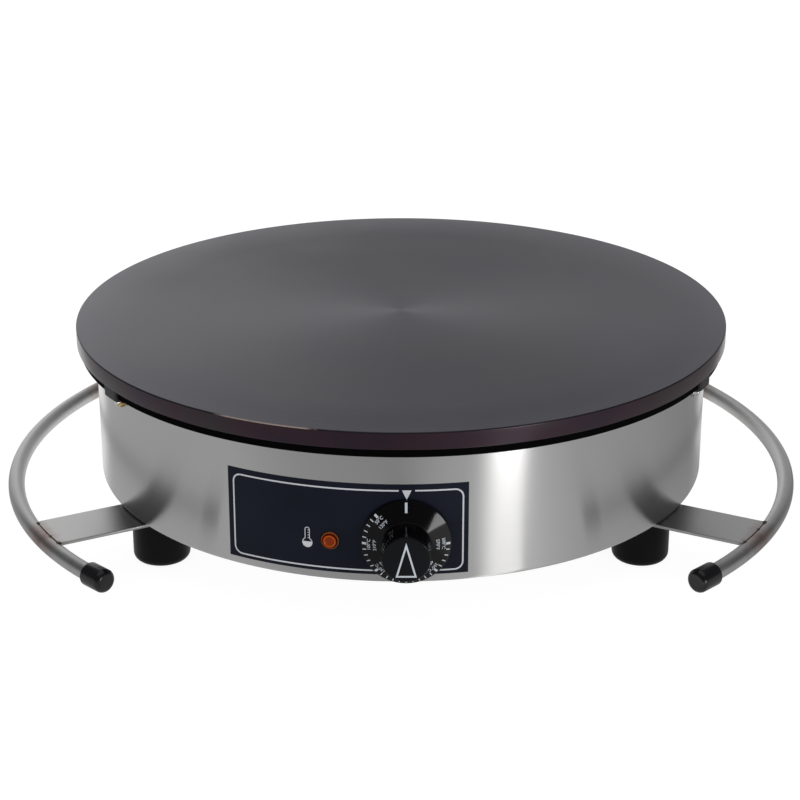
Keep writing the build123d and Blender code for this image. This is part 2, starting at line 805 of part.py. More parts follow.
def knob():
    """Skirt, cone and hub, hollow behind, with a boss whose bore matches the flat spindle."""
    seat = outward(knob_offset, knob_back, knob_height)
    cone = knob_skirt_edge
    hub = cone + knob_cone_depth
    profile = [(0, 0), (knob_skirt_radius, 0), (knob_skirt_radius, cone), (knob_cone_radius, hub)]
    profile += [(knob_hub_radius, hub), (knob_face_radius, knob_length), (0, knob_length)]
    body = revolved(seat, profile)
    body = fillet(body.edges().sort_by(Axis.Y)[0], knob_face_rounding)
    floor = knob_length - knob_wall
    rim = knob_skirt_radius - knob_wall
    hollow = [(0, 0), (rim, 0), (rim, cone - knob_shelf), (knob_hub_radius - knob_wall, hub - knob_wall)]
    hollow += [(knob_face_radius - knob_wall, floor), (0, floor)]
    body -= revolved(seat, hollow)
    body += rod(seat, knob_boss_radius, 0, floor)
    bore_end = knob_back - knob_bore_depth
    bore = y_rod(spindle_diameter / 2 + running_clearance, bore_end, knob_back)
    flat = below_flat(bore_end, bore_end + spindle_flat_length, knob_spring_thickness + seat_clearance)
    return body - (bore - flat)


def knob_spring():
    """A leaf spring between the spindle's flat and the bore's."""
    top = flat_level - seat_clearance / 2
    half = knob_spring_width / 2
    front = spindle_tip + (spindle_flat_length - knob_spring_length) / 2
    low = (knob_offset - half, front, top - knob_spring_thickness)
    return block(low, (knob_offset + half, front + knob_spring_length, top))


def bulb_clip():
    """A saddle under the bulb with one ear screwed to the plate."""
    inner = bulb_diameter / 2 + seat_clearance / 2
    outer = inner + clip_thickness
    front, back = clip_y - clip_width / 2, clip_y + clip_width / 2
    x, top = capillary_offset, plate_bottom - seat_clearance / 2
    body = y_rod(outer, front, back, x, bulb_level)
    body += block((x - outer, front, bulb_level), (x + outer, back, top))
    body += block((x, front, top - clip_thickness), (x + outer + clip_ear, back, top))
    body -= y_rod(inner, front, back, x, bulb_level)
    body -= block((x - inner, front, bulb_level), (x + inner, back, top))
    body -= block((x - outer, front, top), (x + outer, back, bulb_level + outer))
    hole = m4_diameter / 2 + hole_clearance
    return body - disc(hole, bulb_level, plate_bottom, clip_screw_x, clip_y)


def capillary():
    """The thin tube from the bulb down through the insulation and forward to the thermostat."""
    x, run = capillary_offset, thermostat_top + capillary_rise
    route = [(x, bulb_front, bulb_level), (x, capillary_drop_y, bulb_level), (x, capillary_drop_y, run)]
    route += [(x, capillary_end_y, run), (x, capillary_end_y, thermostat_top - thermostat_cup_wall)]
    path = FilletPolyline(*route, radius=[capillary_bend, capillary_turn, capillary_end_bend])
    section = Plane(route[0], x_dir=(1, 0, 0), z_dir=(0, -1, 0)) * Circle(capillary_diameter / 2)
    return sweep(section, path)


def thermostat_group():
    save("thermostat_cup", thermostat_cup())
    save("thermostat_base", thermostat_base())
    save("thermostat_tags", *[tag(x, z, tag_end - tag_length, tag_end) for x, z in tag_places])
    save("thermostat_bracket", thermostat_bracket())
    length = bracket_thickness + thermostat_cup_wall
    planes = [outward(knob_offset, bracket_front, level) for level in thermostat_screw_levels]
    save("thermostat_screws", *[m4_screw(plane, length) for plane in planes])
    top = base_top + bracket_thickness
    planes = [Plane((x, bracket_screw_y, top)) for x in bracket_screw_places]
    length = top - casing_bottom + screw_tail
    save("bracket_screws", *[m4_screw(plane, length) for plane in planes])
    save("thermostat_spindle", thermostat_spindle())
    bulb_back = bulb_front + bulb_length
    save("thermostat_bulb", y_rod(bulb_diameter / 2, bulb_front, bulb_back, capillary_offset, bulb_level))
    save("capillary_tube", capillary())
    save("bulb_clip", bulb_clip())
    ear_bottom = plate_bottom - seat_clearance / 2 - clip_thickness
    under_ear = Plane((clip_screw_x, clip_y, ear_bottom), x_dir=(1, 0, 0), z_dir=(0, 0, -1))
    save("bulb_clip_screw", m4_screw(under_ear, plate_edge_height / 2))
    save("knob", knob())
    save("knob_spring", knob_spring())


# ---- Control panel foil and pilot lamp ----


def control_panel():
    """A thin foil bent round the casing, with holes for the spindle and the lamp."""
    inner = casing_radius + adhesive
    start, end = [degrees(arc / casing_radius) for arc in (-panel_left, panel_right)]
    section = block((0, -panel_radius, panel_low), (adhesive, -inner, panel_high))
    face = section.faces().sort_by(Axis.X)[0]
    body = turned(revolve(face, Axis.Z, end - start), start)
    return body - spindle_hole() - wall_hole(lamp_height, lamp_direction, lamp_body_radius + hole_clearance)


def pilot_lamp():
    """Bezel with its body, domed lens and push-on nut, all on one axis through the wall."""
    seat = on_wall(panel_radius + seat_clearance, lamp_height, lamp_direction)
    bezel = button(seat, lamp_bezel_radius, lamp_bezel_height, lamp_bezel_edge)
    body = bezel + rod(seat, lamp_body_radius, -lamp_body_length, 0)
    well = lamp_bezel_height - lamp_lens_seat
    body -= rod(seat, lamp_lens_radius + seat_clearance, well, lamp_bezel_height)
    lens = button(seat.offset(well + seat_clearance), lamp_lens_radius, lamp_lens_height, lamp_lens_edge)
    wall = on_wall(casing_inner - 2 * seat_clearance, lamp_height, lamp_direction)
    nut = tube(wall, lamp_nut_radius, lamp_body_radius + thread_clearance, -lamp_nut_thickness, 0)
    save("pilot_lamp_body", body)
    save("pilot_lamp_lens", lens)
    save("pilot_lamp_nut", nut)


# ---- Cable inlet, terminal block and earth ----

def cable_gland():
    """Inlet body, seal, dome nut, rubber insert and the locknut inside the wall."""
    wall = on_wall(casing_radius, gland_height, 180)
    seal = gland_seal_thickness
    flange_end = seal + gland_flange
    body = hexagon(wall, gland_hex, seal, flange_end)
    body += rod(wall, gland_thread_radius, -gland_tail, seal)
    body += rod(wall, gland_neck_radius, flange_end, flange_end + gland_neck)
    body -= rod(wall, gland_bore_radius, -gland_tail, flange_end + gland_neck)
    ring_seal = tube(wall, gland_seal_radius, gland_thread_radius + seat_clearance, -casing_wall, seal)
    ring_seal -= disc(casing_radius + adhesive, casing_bottom, casing_top)
    insert_radius = gland_mouth_radius + gland_insert_wall
    dome_start = flange_end + seat_clearance
    dome_end = dome_start + gland_dome_length
    dome = hexagon(wall, gland_hex, dome_start, dome_start + gland_dome_grip)
    dome += rod(wall, gland_dome_radius, dome_start + gland_dome_grip, dome_end)
    tip = max(dome.edges().filter_by(GeomType.CIRCLE), key=lambda edge: edge.center().Y)
    dome = fillet(tip, gland_dome_radius - insert_radius - seat_clearance)
    neck_end = dome_start + gland_neck + seat_clearance
    dome -= rod(wall, gland_neck_radius + thread_clearance, dome_start, neck_end)
    dome -= rod(wall, insert_radius + seat_clearance, neck_end, dome_end)
    insert = tube(wall, insert_radius, gland_mouth_radius, neck_end, dome_end)
    nut_face = -casing_wall - seat_clearance
    nut_bore = gland_thread_radius + thread_clearance
    nut = hexagon(wall, locknut_hex, nut_face - locknut_thickness, nut_face, nut_bore)
    nut &= disc(casing_inner - seat_clearance, casing_bottom, casing_top)
    save("gland_body", body)
    save("gland_seal", ring_seal)
    save("gland_dome_nut", dome)
    save("gland_insert", insert)
    save("gland_locknut", nut)


block_front, block_back = block_y - block_width / 2, block_y + block_width / 2
poles = [(i - (block_poles - 1) / 2) * block_pole_pitch for i in range(block_poles)]


def terminal_block():
    """A three-pole block, with a wire hole and a screw well for each pole."""
    half, top = block_length / 2, base_top + block_height
    body = block((-half, block_front, base_top), (half, block_back, top))
    well_floor = top - block_screw_depth
    screws = []
    for x in poles:
        body -= y_rod(lead_diameter / 2 + loose_clearance, block_front, block_back, x, lead_level)
        for side in (-1, 1):
            y = block_y + side * block_screw_pitch / 2
            body -= disc(block_screw_radius + hole_clearance, well_floor, top, x, y)
            screws.append(disc(block_screw_radius, well_floor, top - plug_in, x, y))
    save("terminal_block", body)
    save("terminal_screws", *screws)


def earth_stud():
    """A threaded earth stud: a nut on each side of the base plate and one over the earth lead's eyelet."""
    low = base_bottom - m5_hex_height
    bore = earth_diameter / 2 + thread_clearance
    levels = (low, base_top, earth_eyelet_top + seat_clearance)
    planes = [Plane((earth_offset, block_y, level)) for level in levels]
    save("earth_stud", disc(earth_diameter / 2, low - plug_in, low + earth_length, earth_offset, block_y))
    save("earth_nuts", *[hexagon(plane, m5_hex, 0, m5_hex_height, bore) for plane in planes])


# ---- Leads between the block, the thermostat, the heater and the lamp ----

sleeve_back = tag_end + sleeve_tail
inside_block = block_front + block_lead_grip
before_block = block_front - lead_turn
lead_floor = base_top + lead_diameter


def lead(diameter, route):
    """A round lead on straight runs, with the largest arcs that its runs leave room for."""
    radii = []
    for before, corner, after in zip(route, route[1:], route[2:]):
        run_in, run_out = Vector(*corner) - Vector(*before), Vector(*after) - Vector(*corner)
        half_turn = radians(run_in.get_angle(run_out)) / 2
        room = bend_share * min(run_in.length, run_out.length)
        radii.append(min(lead_bend, room / tan(half_turn)))
    start = Plane(route[0], z_dir=Vector(*route[1]) - Vector(*route[0]))
    return sweep(start * Circle(diameter / 2), FilletPolyline(*route, radius=radii))


def sleeve(x, z):
    """A push-on sleeve over one of the thermostat's tags."""
    half, thick = tag_width / 2 + sleeve_wall, tag_thickness / 2 + sleeve_wall
    front = thermostat_back + loose_clearance
    body = block((x - half, front, z - thick), (x + half, sleeve_back, z + thick))
    return body - tag(x, z, front, tag_end + seat_clearance, seat_clearance)


def eyelet(x, y, top, pin, heading):
    """A flat ring round a pin, with a tongue towards its lead; the heading is in degrees from +X."""
    low = top - eyelet_thickness
    half = eyelet_tongue / 2
    body = disc(eyelet_radius, low, top) + block((0, -half, low), (eyelet_reach, half, top))
    body -= disc(pin / 2 + seat_clearance, low, top)
    return Pos(x, y, 0) * Rot(0, 0, heading) * body


def power_leads():
    """The neutral, line and heater leads."""
    neutral_pole, line_pole, _ = poles
    (outer_x, outer_y), (inner_x, inner_y) = leg_places
    level = eyelet_top - eyelet_thickness / 2
    tag_start = sleeve_back - seat_clearance

    neutral = eyelet(outer_x, outer_y, eyelet_top, terminal_pin, -90)
    neutral += lead(lead_diameter, [
        (outer_x, outer_y - eyelet_crimp, level),
        (outer_x, before_block, level),
        (outer_x, before_block, lead_level),
        (neutral_pole, before_block, lead_level),
        (neutral_pole, inside_block, lead_level),
    ])
    line = sleeve(left_tags, low_tags) + lead(lead_diameter, [
        (line_pole, inside_block, lead_level),
        (line_pole, before_block, lead_level),
        (line_pole + 4, 50, lead_floor),
        (line_pole - 1, 0, lead_floor + 1),
        (left_tags - 1, -50, lead_floor),
        (left_tags - 2, -98, lead_floor + 1),
        (left_tags, sleeve_back + 16, low_tags),
        (left_tags, tag_start, low_tags),
    ])
    heater = sleeve(right_tags, low_tags) + eyelet(inner_x, inner_y, eyelet_top, terminal_pin, -90)
    heater += lead(lead_diameter, [
        (right_tags, tag_start, low_tags),
        (right_tags, sleeve_back + 18, low_tags),
        (right_tags + 4, -90, lead_floor + 1),
        (right_tags + 8, -45, lead_floor),
        (right_tags + 5, 5, lead_floor + 1),
        (right_tags - 8, 50, lead_floor + 10),
        (inner_x + 5, inner_y - 21, level - 5),
        (inner_x, inner_y - eyelet_crimp, level),
    ])
    save("power_leads", neutral, line, heater)


def lamp_leads():
    """One lead from the lamp to the thermostat and one back to the neutral terminal."""
    outer_x, outer_y = leg_places[0]
    level = eyelet_top - eyelet_pitch
    centre = level - eyelet_thickness / 2
    tail = on_wall(panel_radius - lamp_body_length, lamp_height, lamp_direction)
    low_exit, high_exit = [tail.origin + tail.y_dir * side * lamp_lead_spacing / 2 for side in (-1, 1)]
    low_bend, high_bend = [point - tail.z_dir * lamp_lead_run for point in (low_exit, high_exit)]
    switched = sleeve(left_tags, high_tags) + lead(lamp_lead_diameter, [
        tuple(high_exit),
        tuple(high_bend),
        (left_tags - 18, sleeve_back + 21, high_tags - 7),
        (left_tags - 8, sleeve_back + 30, high_tags - 2),
        (left_tags, sleeve_back + 23, high_tags),
        (left_tags, sleeve_back - seat_clearance, high_tags),
    ])
    back = eyelet(outer_x, outer_y, level, terminal_pin, 180)
    back += lead(lamp_lead_diameter, [
        tuple(low_exit),
        tuple(low_bend),
        (outer_x - 1, -105, lead_floor + 7),
        (outer_x - 10, -55, lead_floor),
        (outer_x - 16, 0, lead_floor + 1),
        (outer_x - 18, 50, lead_floor),
        (outer_x - 17, 100, lead_floor + 12),
        (outer_x - 18, outer_y, centre),
        (outer_x - eyelet_crimp, outer_y, centre),
    ])
    save("lamp_leads", switched, back)


def earth_lead():
    pole = poles[-1]
    level = earth_eyelet_top - eyelet_thickness / 2
    earth = eyelet(earth_offset, block_y, earth_eyelet_top, earth_diameter, -90)
    earth += lead(lead_diameter, [
        (pole, inside_block, lead_level),
        (pole, before_block, lead_level),
        (pole + 19, before_block - 10, lead_level - 1),
        (earth_offset, before_block, level),
        (earth_offset, block_y - eyelet_crimp, level),
    ])
    save("earth_lead", earth)


# ---- Build and write ----

save("cooking_plate", cooking_plate())
under_plate()
casing_and_supports()
lug_fasteners()
thermostat_group()
save("control_panel", control_panel())
pilot_lamp()
cable_gland()
terminal_block()
earth_stud()
power_leads()
lamp_leads()
earth_lead()

os.makedirs("parts", exist_ok=True)
for name, shape in parts.items():
    export_step(shape, f"parts/{name}.step")
print(len(parts), "nodes")
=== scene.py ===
from math import atan2, ceil, cos, degrees, pi, radians, sin, sqrt, tan

import bmesh
import bpy
from mathutils import Matrix, Vector

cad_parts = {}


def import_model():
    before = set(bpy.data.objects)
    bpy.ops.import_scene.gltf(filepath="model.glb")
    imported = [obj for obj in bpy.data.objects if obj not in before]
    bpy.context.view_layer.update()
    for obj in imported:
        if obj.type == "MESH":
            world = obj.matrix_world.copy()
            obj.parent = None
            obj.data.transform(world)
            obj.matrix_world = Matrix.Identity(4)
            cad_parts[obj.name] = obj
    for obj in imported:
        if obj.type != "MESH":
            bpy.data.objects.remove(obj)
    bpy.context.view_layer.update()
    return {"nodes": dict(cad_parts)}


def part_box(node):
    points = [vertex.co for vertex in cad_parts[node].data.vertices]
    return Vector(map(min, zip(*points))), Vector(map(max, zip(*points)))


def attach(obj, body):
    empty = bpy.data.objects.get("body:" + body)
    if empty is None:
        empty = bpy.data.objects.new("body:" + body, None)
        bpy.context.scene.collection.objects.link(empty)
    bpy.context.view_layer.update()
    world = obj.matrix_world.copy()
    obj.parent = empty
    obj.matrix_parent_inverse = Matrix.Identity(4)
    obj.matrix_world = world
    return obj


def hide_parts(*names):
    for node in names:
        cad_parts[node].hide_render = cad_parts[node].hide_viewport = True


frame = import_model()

# The looks of an electric crepe maker. Shapes are drawn in millimetres and scaled to metres when a piece is made.
# Directions round the machine's axis are in degrees from the front, positive towards +X.

MM = 0.001
# Below this radius a circle is a point; else it has one of these counts of points.
NOTHING = 1e-6
PLATE_ROUND, CASING_ROUND, ROUND, MIDDLE_ROUND, SMALL_ROUND, TUBE_ROUND, DROP_ROUND = 384, 512, 256, 96, 64, 48, 12
# Material indexes of the cast plate; its top has index 0.
RIM, RAW, LUG, PALE_EDGE = 1, 2, 3, 4
# The material index of the knob's face.
FACE = 1


def box_mm(node):
    """The lowest and highest corner of a CAD node, in millimetres."""
    low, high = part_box(node)
    return low / MM, high / MM


# ---- Sizes from the frame, and the few that its boxes don't give ----

plate_high = box_mm("cooking_plate")[1]
plate_radius, plate_top = plate_high.x, plate_high.z
rim_height = 10.2
rim_bottom = plate_top - rim_height
lip_inset, lip_height = 2.0, 5.2
lip_bottom = rim_bottom - lip_height
skirt_gap, skirt_height, skirt_wall = 3.4, 12, 5.0
lug_drop, lug_width, lug_turn = 1.1, 15.5, 2.8
lug_directions = [lug_turn + side * 60 for side in (-1, 1, 3)]

casing_low, casing_high = box_mm("casing_ring")
casing_radius, casing_bottom, casing_top = casing_high.x, casing_low.z, casing_high.z
sheet = 0.8
rim_bead, rim_bead_height = 2.0, 2.4
flange_width, flange_bend = 38.0, 3.0

panel_low, panel_high = box_mm("control_panel")
panel_left, panel_right = -101.0, 37.4
panel_gap, panel_sheet = 0.05, 0.3
panel_face = casing_radius + panel_gap + panel_sheet
ink = 0.035

knob_low, knob_high = box_mm("knob")
knob_x, knob_z = (knob_low.x + knob_high.x) / 2, (knob_low.z + knob_high.z) / 2
knob_length = knob_high.y - knob_low.y
knob_skirt = knob_high.x - knob_x
knob_edge = 1.3
knob_cone_radius, knob_cone_depth = 13.9, 4.6
knob_hub_radius, knob_face_radius = 13.8, 13.3
face_relief = 0.04
cone_slant = 1.08
dial_step = 45

lamp_direction, lamp_height = -11.93, 56.5
lamp_bezel, lamp_bezel_height = 4.95, 1.5
lamp_lens, lamp_lens_height = 3.75, 1.8
lens_reach = 5.0

tube_low, tube_high = box_mm("handle_tube_right")
tube_radius = (tube_high.z - tube_low.z) / 2
tube_level = (tube_high.z + tube_low.z) / 2
handle_radius = tube_high.x - tube_radius
handle_half_angle = 46.2
cap_radius, cap_length, cap_wall, cap_rounding = 7.0, 16.0, 3.4, 3.2
front_strap, rear_strap = 31.5, 36.0
strap_skew, strap_width, strap_thickness = 3.4, 34.6, 2.0
strap_weld_land, strap_tail, strap_corner = 2.2, 23.0, 4.0
foot_circle = casing_radius - 19.4
foot_radius, foot_rounding, foot_recess, foot_recess_depth = 17.1, 5.0, 8.0, 14.0
foot_top = casing_bottom - strap_thickness

gland_height = 54.3
stud_height = box_mm("lug_washers")[0].z + 4.0

CORNERS = {"front_left": (-1, -1), "front_right": (1, -1), "rear_left": (-1, 1), "rear_right": (1, 1)}


# ---- Mesh helpers, all in millimetres ----


def wall_frame(radius, height, direction):
    """A frame on a cylinder about the machine's axis: x to the right as seen from outside, y up, z outward."""
    a = radians(direction)
    out = Vector((sin(a), -cos(a), 0))
    up = Vector((0, 0, 1))
    side = up.cross(out)
    at = out * radius + up * height
    return Matrix((*zip(side, up, out, at), (0, 0, 0, 1)))


def evenly(start, end, steps):
    """Values from start to end in equal steps, with both."""
    return [start + (end - start) * k / steps for k in range(steps + 1)]


def rounded(corners, closed=False, steps=6):
    """An outline with its corners rounded. A corner is (x, y) or (x, y, radius)."""
    points = []
    for i, corner in enumerate(corners):
        here = Vector(corner[:2])
        radius = corner[2] if len(corner) > 2 else 0
        if not radius or not (closed or 0 < i < len(corners) - 1):
            points.append(tuple(here))
            continue
        before = (Vector(corners[i - 1][:2]) - here).normalized()
        after = (Vector(corners[(i + 1) % len(corners)][:2]) - here).normalized()
        half = before.angle(after) / 2
        centre = here + (before + after).normalized() * radius / sin(half)
        start = here + before * radius / tan(half) - centre
        end = here + after * radius / tan(half) - centre
        first = atan2(start.y, start.x)
        turn = (atan2(end.y, end.x) - first + pi) % (2 * pi) - pi
        for k in range(steps + 1):
            a = first + turn * k / steps
            points.append((centre.x + radius * cos(a), centre.y + radius * sin(a)))
    return points


def arc_point(direction, radius, level):
    a = radians(direction)
    return Vector((radius * sin(a), -radius * cos(a), level))


def around(radius, segments):
    """The points of a circle, or its centre alone where the radius is nothing."""
    turns = [2 * pi * k / segments for k in range(segments if radius > NOTHING else 1)]
    return [(radius * cos(a), radius * sin(a)) for a in turns]


def ring_of(bm, points):
    return [bm.verts.new(point) for point in points]


def bridge(bm, one, other, material=0):
    """Faces between two rings of vertices; a ring may be a single vertex."""
    count = max(len(one), len(other))
    for k in range(count):
        j = (k + 1) % count
        corners = one[k % len(one)], other[k % len(other)], other[j % len(other)], one[j % len(one)]
        bm.faces.new(list(dict.fromkeys(corners))).material_index = material


def skin(bm, rings, material=0, closed=False, capped=False):
    """Faces between each ring and the next, and over both ends where they are capped."""
    for one, other in zip(rings, rings[1:] + (rings[:1] if closed else [])):
        bridge(bm, one, other, material)
    for ring in (rings[0], rings[-1][::-1]) if capped else ():
        bm.faces.new(ring).material_index = material


def lathe(bm, outline, place=None, segments=ROUND, closed=False, spans=()):
    """Turns an outline of (radius, height) points about z; spans give other materials to runs of points."""
    place = place or Matrix()
    rings = [ring_of(bm, (place @ Vector((x, y, height)) for x, y in around(radius, segments)))
             for radius, height in outline]
    for i, (one, other) in enumerate(zip(rings, rings[1:] + (rings[:1] if closed else []))):
        bridge(bm, one, other, next((m for first, last, m in spans if first <= i < last), 0))


def arc_tube(bm, stations):
    """A bar along a handle's bend through (direction, bar radius) stations, with closed ends."""
    skin(bm, [
        ring_of(bm, (arc_point(direction, handle_radius + x, tube_level + y) for x, y in around(radius, TUBE_ROUND)))
        for direction, radius in stations
    ])


def ribbon(bm, left, right, place, lift, closed=False):
    """A thin printed strip between two lines of (u, v) points; place maps (u, v, height) to the surface."""
    rings = []
    for one, other in zip(left, right):
        corners = ((*one, 0), (*other, 0), (*other, lift), (*one, lift))
        rings.append(ring_of(bm, (place(*corner) for corner in corners)))
    skin(bm, rings, closed=closed, capped=not closed)


def add(name, data):
    """A new object in the scene."""
    made = bpy.data.objects.new(name, data)
    bpy.context.scene.collection.objects.link(made)
    return made


def piece(name, bm, slot, materials, replaces=(), body="housing", sharp=35):
    """Makes an object of a mesh in millimetres, and fixes it to its body."""
    bmesh.ops.remove_doubles(bm, verts=bm.verts, dist=1e-5)
    bmesh.ops.recalc_face_normals(bm, faces=bm.faces)
    bmesh.ops.scale(bm, vec=(MM, MM, MM), verts=bm.verts)
    mesh = bpy.data.meshes.new(name)
    bm.to_mesh(mesh)
    bm.free()
    mesh.shade_smooth()
    mesh.set_sharp_from_angle(angle=radians(sharp))
    for material in materials if isinstance(materials, (list, tuple)) else [materials]:
        mesh.materials.append(material)
    made = add(name, mesh)
    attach(made, body)
    if replaces:
        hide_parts(*replaces)


def turned_piece(name, outline, place, slot, material, node, closed=False, sharp=35, segments=MIDDLE_ROUND):
    """A piece of a single turned outline."""
    bm = bmesh.new()
    lathe(bm, outline, place, segments, closed)
    piece(name, bm, slot, material, [node], sharp=sharp)


# ---- Material helpers ----


class Nodes:
    """A node tree. Values are sockets, which are linked, or numbers and colours, which go onto the input itself."""

    def __init__(self, tree):
        self.tree = tree

    def give(self, socket, value):
        if hasattr(value, "is_linked"):
            self.tree.links.new(value, socket)
        else:
            socket.default_value = (*value, 1) if socket.type == "RGBA" else value

    def node(self, kind, settings=None, **inputs):
        """A node with inputs by name, with _ for a space."""
        made = self.tree.nodes.new("ShaderNode" + kind)
        for key, value in (settings or {}).items():
            setattr(made, key, value)
        for key, value in inputs.items():
            self.give(made.inputs[key.replace("_", " ")], value)
        return made

    def join(self, kind, *values, **settings):
        """The first output of a node whose inputs are given in their order."""
        made = self.node(kind, settings)
        for socket, value in zip(made.inputs, values):
            self.give(socket, value)
        return made.outputs[0]

    def math(self, operation, one, other=0.0):
        return self.join("Math", one, other, operation=operation)

    def plus(self, one, other):
        return self.math("ADD", one, other)

    def times(self, one, other):
        return self.math("MULTIPLY", one, other)

    def axes(self, kind="Object"):
        """Coordinates as three values."""
        return self.node("SeparateXYZ", Vector=self.node("TexCoord").outputs[kind]).outputs

    def fade(self, value, start, end):
        """A smooth step from 0 at start to 1 at end."""
        step = {"interpolation_type": "SMOOTHSTEP"}
        return self.node("MapRange", step, Value=value, From_Min=start, From_Max=end).outputs[0]

    def mix(self, factor, one, other):
        """One colour passing into another."""
        made = self.node("Mix", {"data_type": "RGBA"}, Factor=factor)
        for socket, value in zip([s for s in made.inputs if s.type == "RGBA"], (one, other)):
            self.give(socket, value)
        return next(s for s in made.outputs if s.type == "RGBA")

    def ramp(self, factor, *stops):
        """Colours by (position, colour) stops."""
        made = self.node("ValToRGB", Fac=factor)
        elements = made.color_ramp.elements
        while len(elements) < len(stops):
            elements.new(0.5)
        for element, (position, colour) in zip(elements, stops):
            element.position = position
            element.color = (*colour, 1)
        return made.outputs[0]


class Paint(Nodes):
    """A material. Its constants are set on the shader's own sockets."""

    def __init__(self, name, **sockets):
        self.material = bpy.data.materials.new(name)
        self.material.use_nodes = True
        super().__init__(self.material.node_tree)
        self.shader = self.tree.nodes["Principled BSDF"]
        self.use(**sockets)

    def use(self, **sockets):
        for key, value in sockets.items():
            self.give(self.shader.inputs[key.replace("_", " ")], value)

    def place(self, stretch):
        """Object coordinates in metres, stretched."""
        return self.node("Mapping", Vector=self.node("TexCoord").outputs["Object"], Scale=stretch).outputs[0]

    def noise(self, scale, detail=3.0, stretch=(1, 1, 1), vector=None):
        return self.node("TexNoise", Vector=vector or self.place(stretch), Scale=scale, Detail=detail).outputs["Fac"]

    def weigh(self, one, share, other):
        """A share of one value and the rest from the other."""
        return self.plus(self.times(one, share), self.times(other, 1 - share))

    def centred(self, value, width):
        """A noise value with its middle at zero, scaled."""
        return self.times(self.math("SUBTRACT", value, 0.5), width)

    def spread(self, value, low, high, span=(0.3, 0.7)):
        """A noise value brought to a range."""
        made = self.node("MapRange", Value=value, From_Min=span[0], From_Max=span[1], To_Min=low, To_Max=high)
        return made.outputs[0]

    def radius(self):
        """Distance from the machine's axis, in metres."""
        x, y, _ = self.axes()
        return self.math("SQRT", self.plus(self.times(x, x), self.times(y, y)))

    def polar(self, turning, outward, upward):
        """Coordinates round the machine's axis, outward from it and up, each in steps per radian or metre."""
        x, y, z = self.axes()
        values = (self.math("ARCTAN2", y, x), turning), (self.radius(), outward), (z, upward)
        return self.join("CombineXYZ", *[self.times(value, scale) for value, scale in values])

    def tangent(self):
        """Highlights stretched along circles about the machine's axis."""
        self.use(Tangent=self.join("Tangent", direction_type="RADIAL", axis="Z"))

    def finish(self, colour, roughness, height, distance, strength):
        """Adds colour, roughness and relief, and gives the material."""
        relief = self.node("Bump", Height=height, Strength=strength, Distance=distance).outputs[0]
        self.use(Base_Color=colour, Roughness=roughness, Normal=relief)
        return self.material


def dimmed(colour, share):
    return tuple(min(1.0, c * share) for c in colour)


def plastic(name, colour, roughness, grain_scale=900.0, grain_depth=0.00002, variation=0.25, specular=0.5):
    """Moulded plastic or rubber with a fine surface grain and slight unevenness."""
    paint = Paint(name, Specular_IOR_Level=specular)
    clouds = paint.noise(35.0)
    grain = paint.noise(grain_scale, 2.0)
    dark, light = dimmed(colour, 1 - variation), dimmed(colour, 1 + variation)
    tone = paint.ramp(clouds, (0.3, dark), (0.7, light))
    return paint.finish(tone, paint.spread(clouds, roughness * 0.85, roughness * 1.15), grain, grain_depth, 0.3)


def plain_metal(name, colour, roughness, scale=600.0):
    """Metal with a fine even grain."""
    paint = Paint(name, Metallic=1.0)
    fine = paint.noise(scale, 4.0)
    tone = paint.ramp(fine, (0.3, dimmed(colour, 0.88)), (0.7, colour))
    return paint.finish(tone, paint.spread(fine, roughness - 0.05, roughness + 0.08), fine, 0.00002, 0.2)


# ---- Materials ----


def plate_top_material():
    """Machined cast iron, seasoned: turned grooves, dull blotches, a stretched sheen, and a painted sheen lighter at
    centre and edge.
    """
    paint = Paint("seasoned_top", Specular_IOR_Level=0.38, Anisotropic=0.5, Anisotropic_Rotation=0.25)
    paint.use(Specular_Tint=(0.94, 0.92, 1.0))
    radius = paint.radius()
    x, y, _ = paint.node("SeparateXYZ", Vector=paint.place((12, 12, 12))).outputs
    grooved = paint.join("CombineXYZ", paint.times(radius, 1400.0), x, y)
    grooves = paint.noise(1.0, 2.0, vector=grooved)
    both = paint.weigh(grooves, 0.4, paint.noise(14.0, 5.0))
    # Painted sheen: by the distance from the axis, the colour is lighter at the centre and near the edge, darker
    # between.
    painted_sheen = paint.node("FloatCurve", Value=paint.times(radius, 1 / (plate_radius * MM)))
    levels = ((0.0, 0.70), (0.65, 0.14), (1.0, 0.9), (1.0, 1.0))
    points = painted_sheen.mapping.curves[0].points
    while len(points) < len(levels):
        points.new(0.5, 0.5)
    for point, level in zip(points, levels):
        point.location = level
    painted_sheen.mapping.update()
    sheen_and_blotches = paint.plus(painted_sheen.outputs[0], paint.centred(both, 2.2))
    paint.tangent()
    tone = paint.ramp(sheen_and_blotches, (0.0, (0.008, 0.0075, 0.0145)), (1.0, (0.058, 0.0565, 0.072)))
    relief = paint.weigh(grooves, 0.6, paint.noise(420.0))
    return paint.finish(tone, paint.spread(both, 0.31, 0.41), relief, 0.00003, 0.35)


def plate_rim_material():
    """The turned edge of the plate, browned by heat in places."""
    paint = Paint("browned_rim", Specular_IOR_Level=0.5, Specular_Tint=(1.0, 0.80, 0.93))
    rings = paint.noise(1.0, stretch=(25, 25, 3200))
    grey, brown, violet = (0.010, 0.010, 0.009), (0.016, 0.003, 0.007), (0.007, 0.003, 0.012)
    tone = paint.ramp(paint.noise(30.0, 2.0), (0.30, grey), (0.50, brown), (0.70, violet))
    return paint.finish(tone, paint.spread(rings, 0.22, 0.28), rings, 0.00002, 0.2)


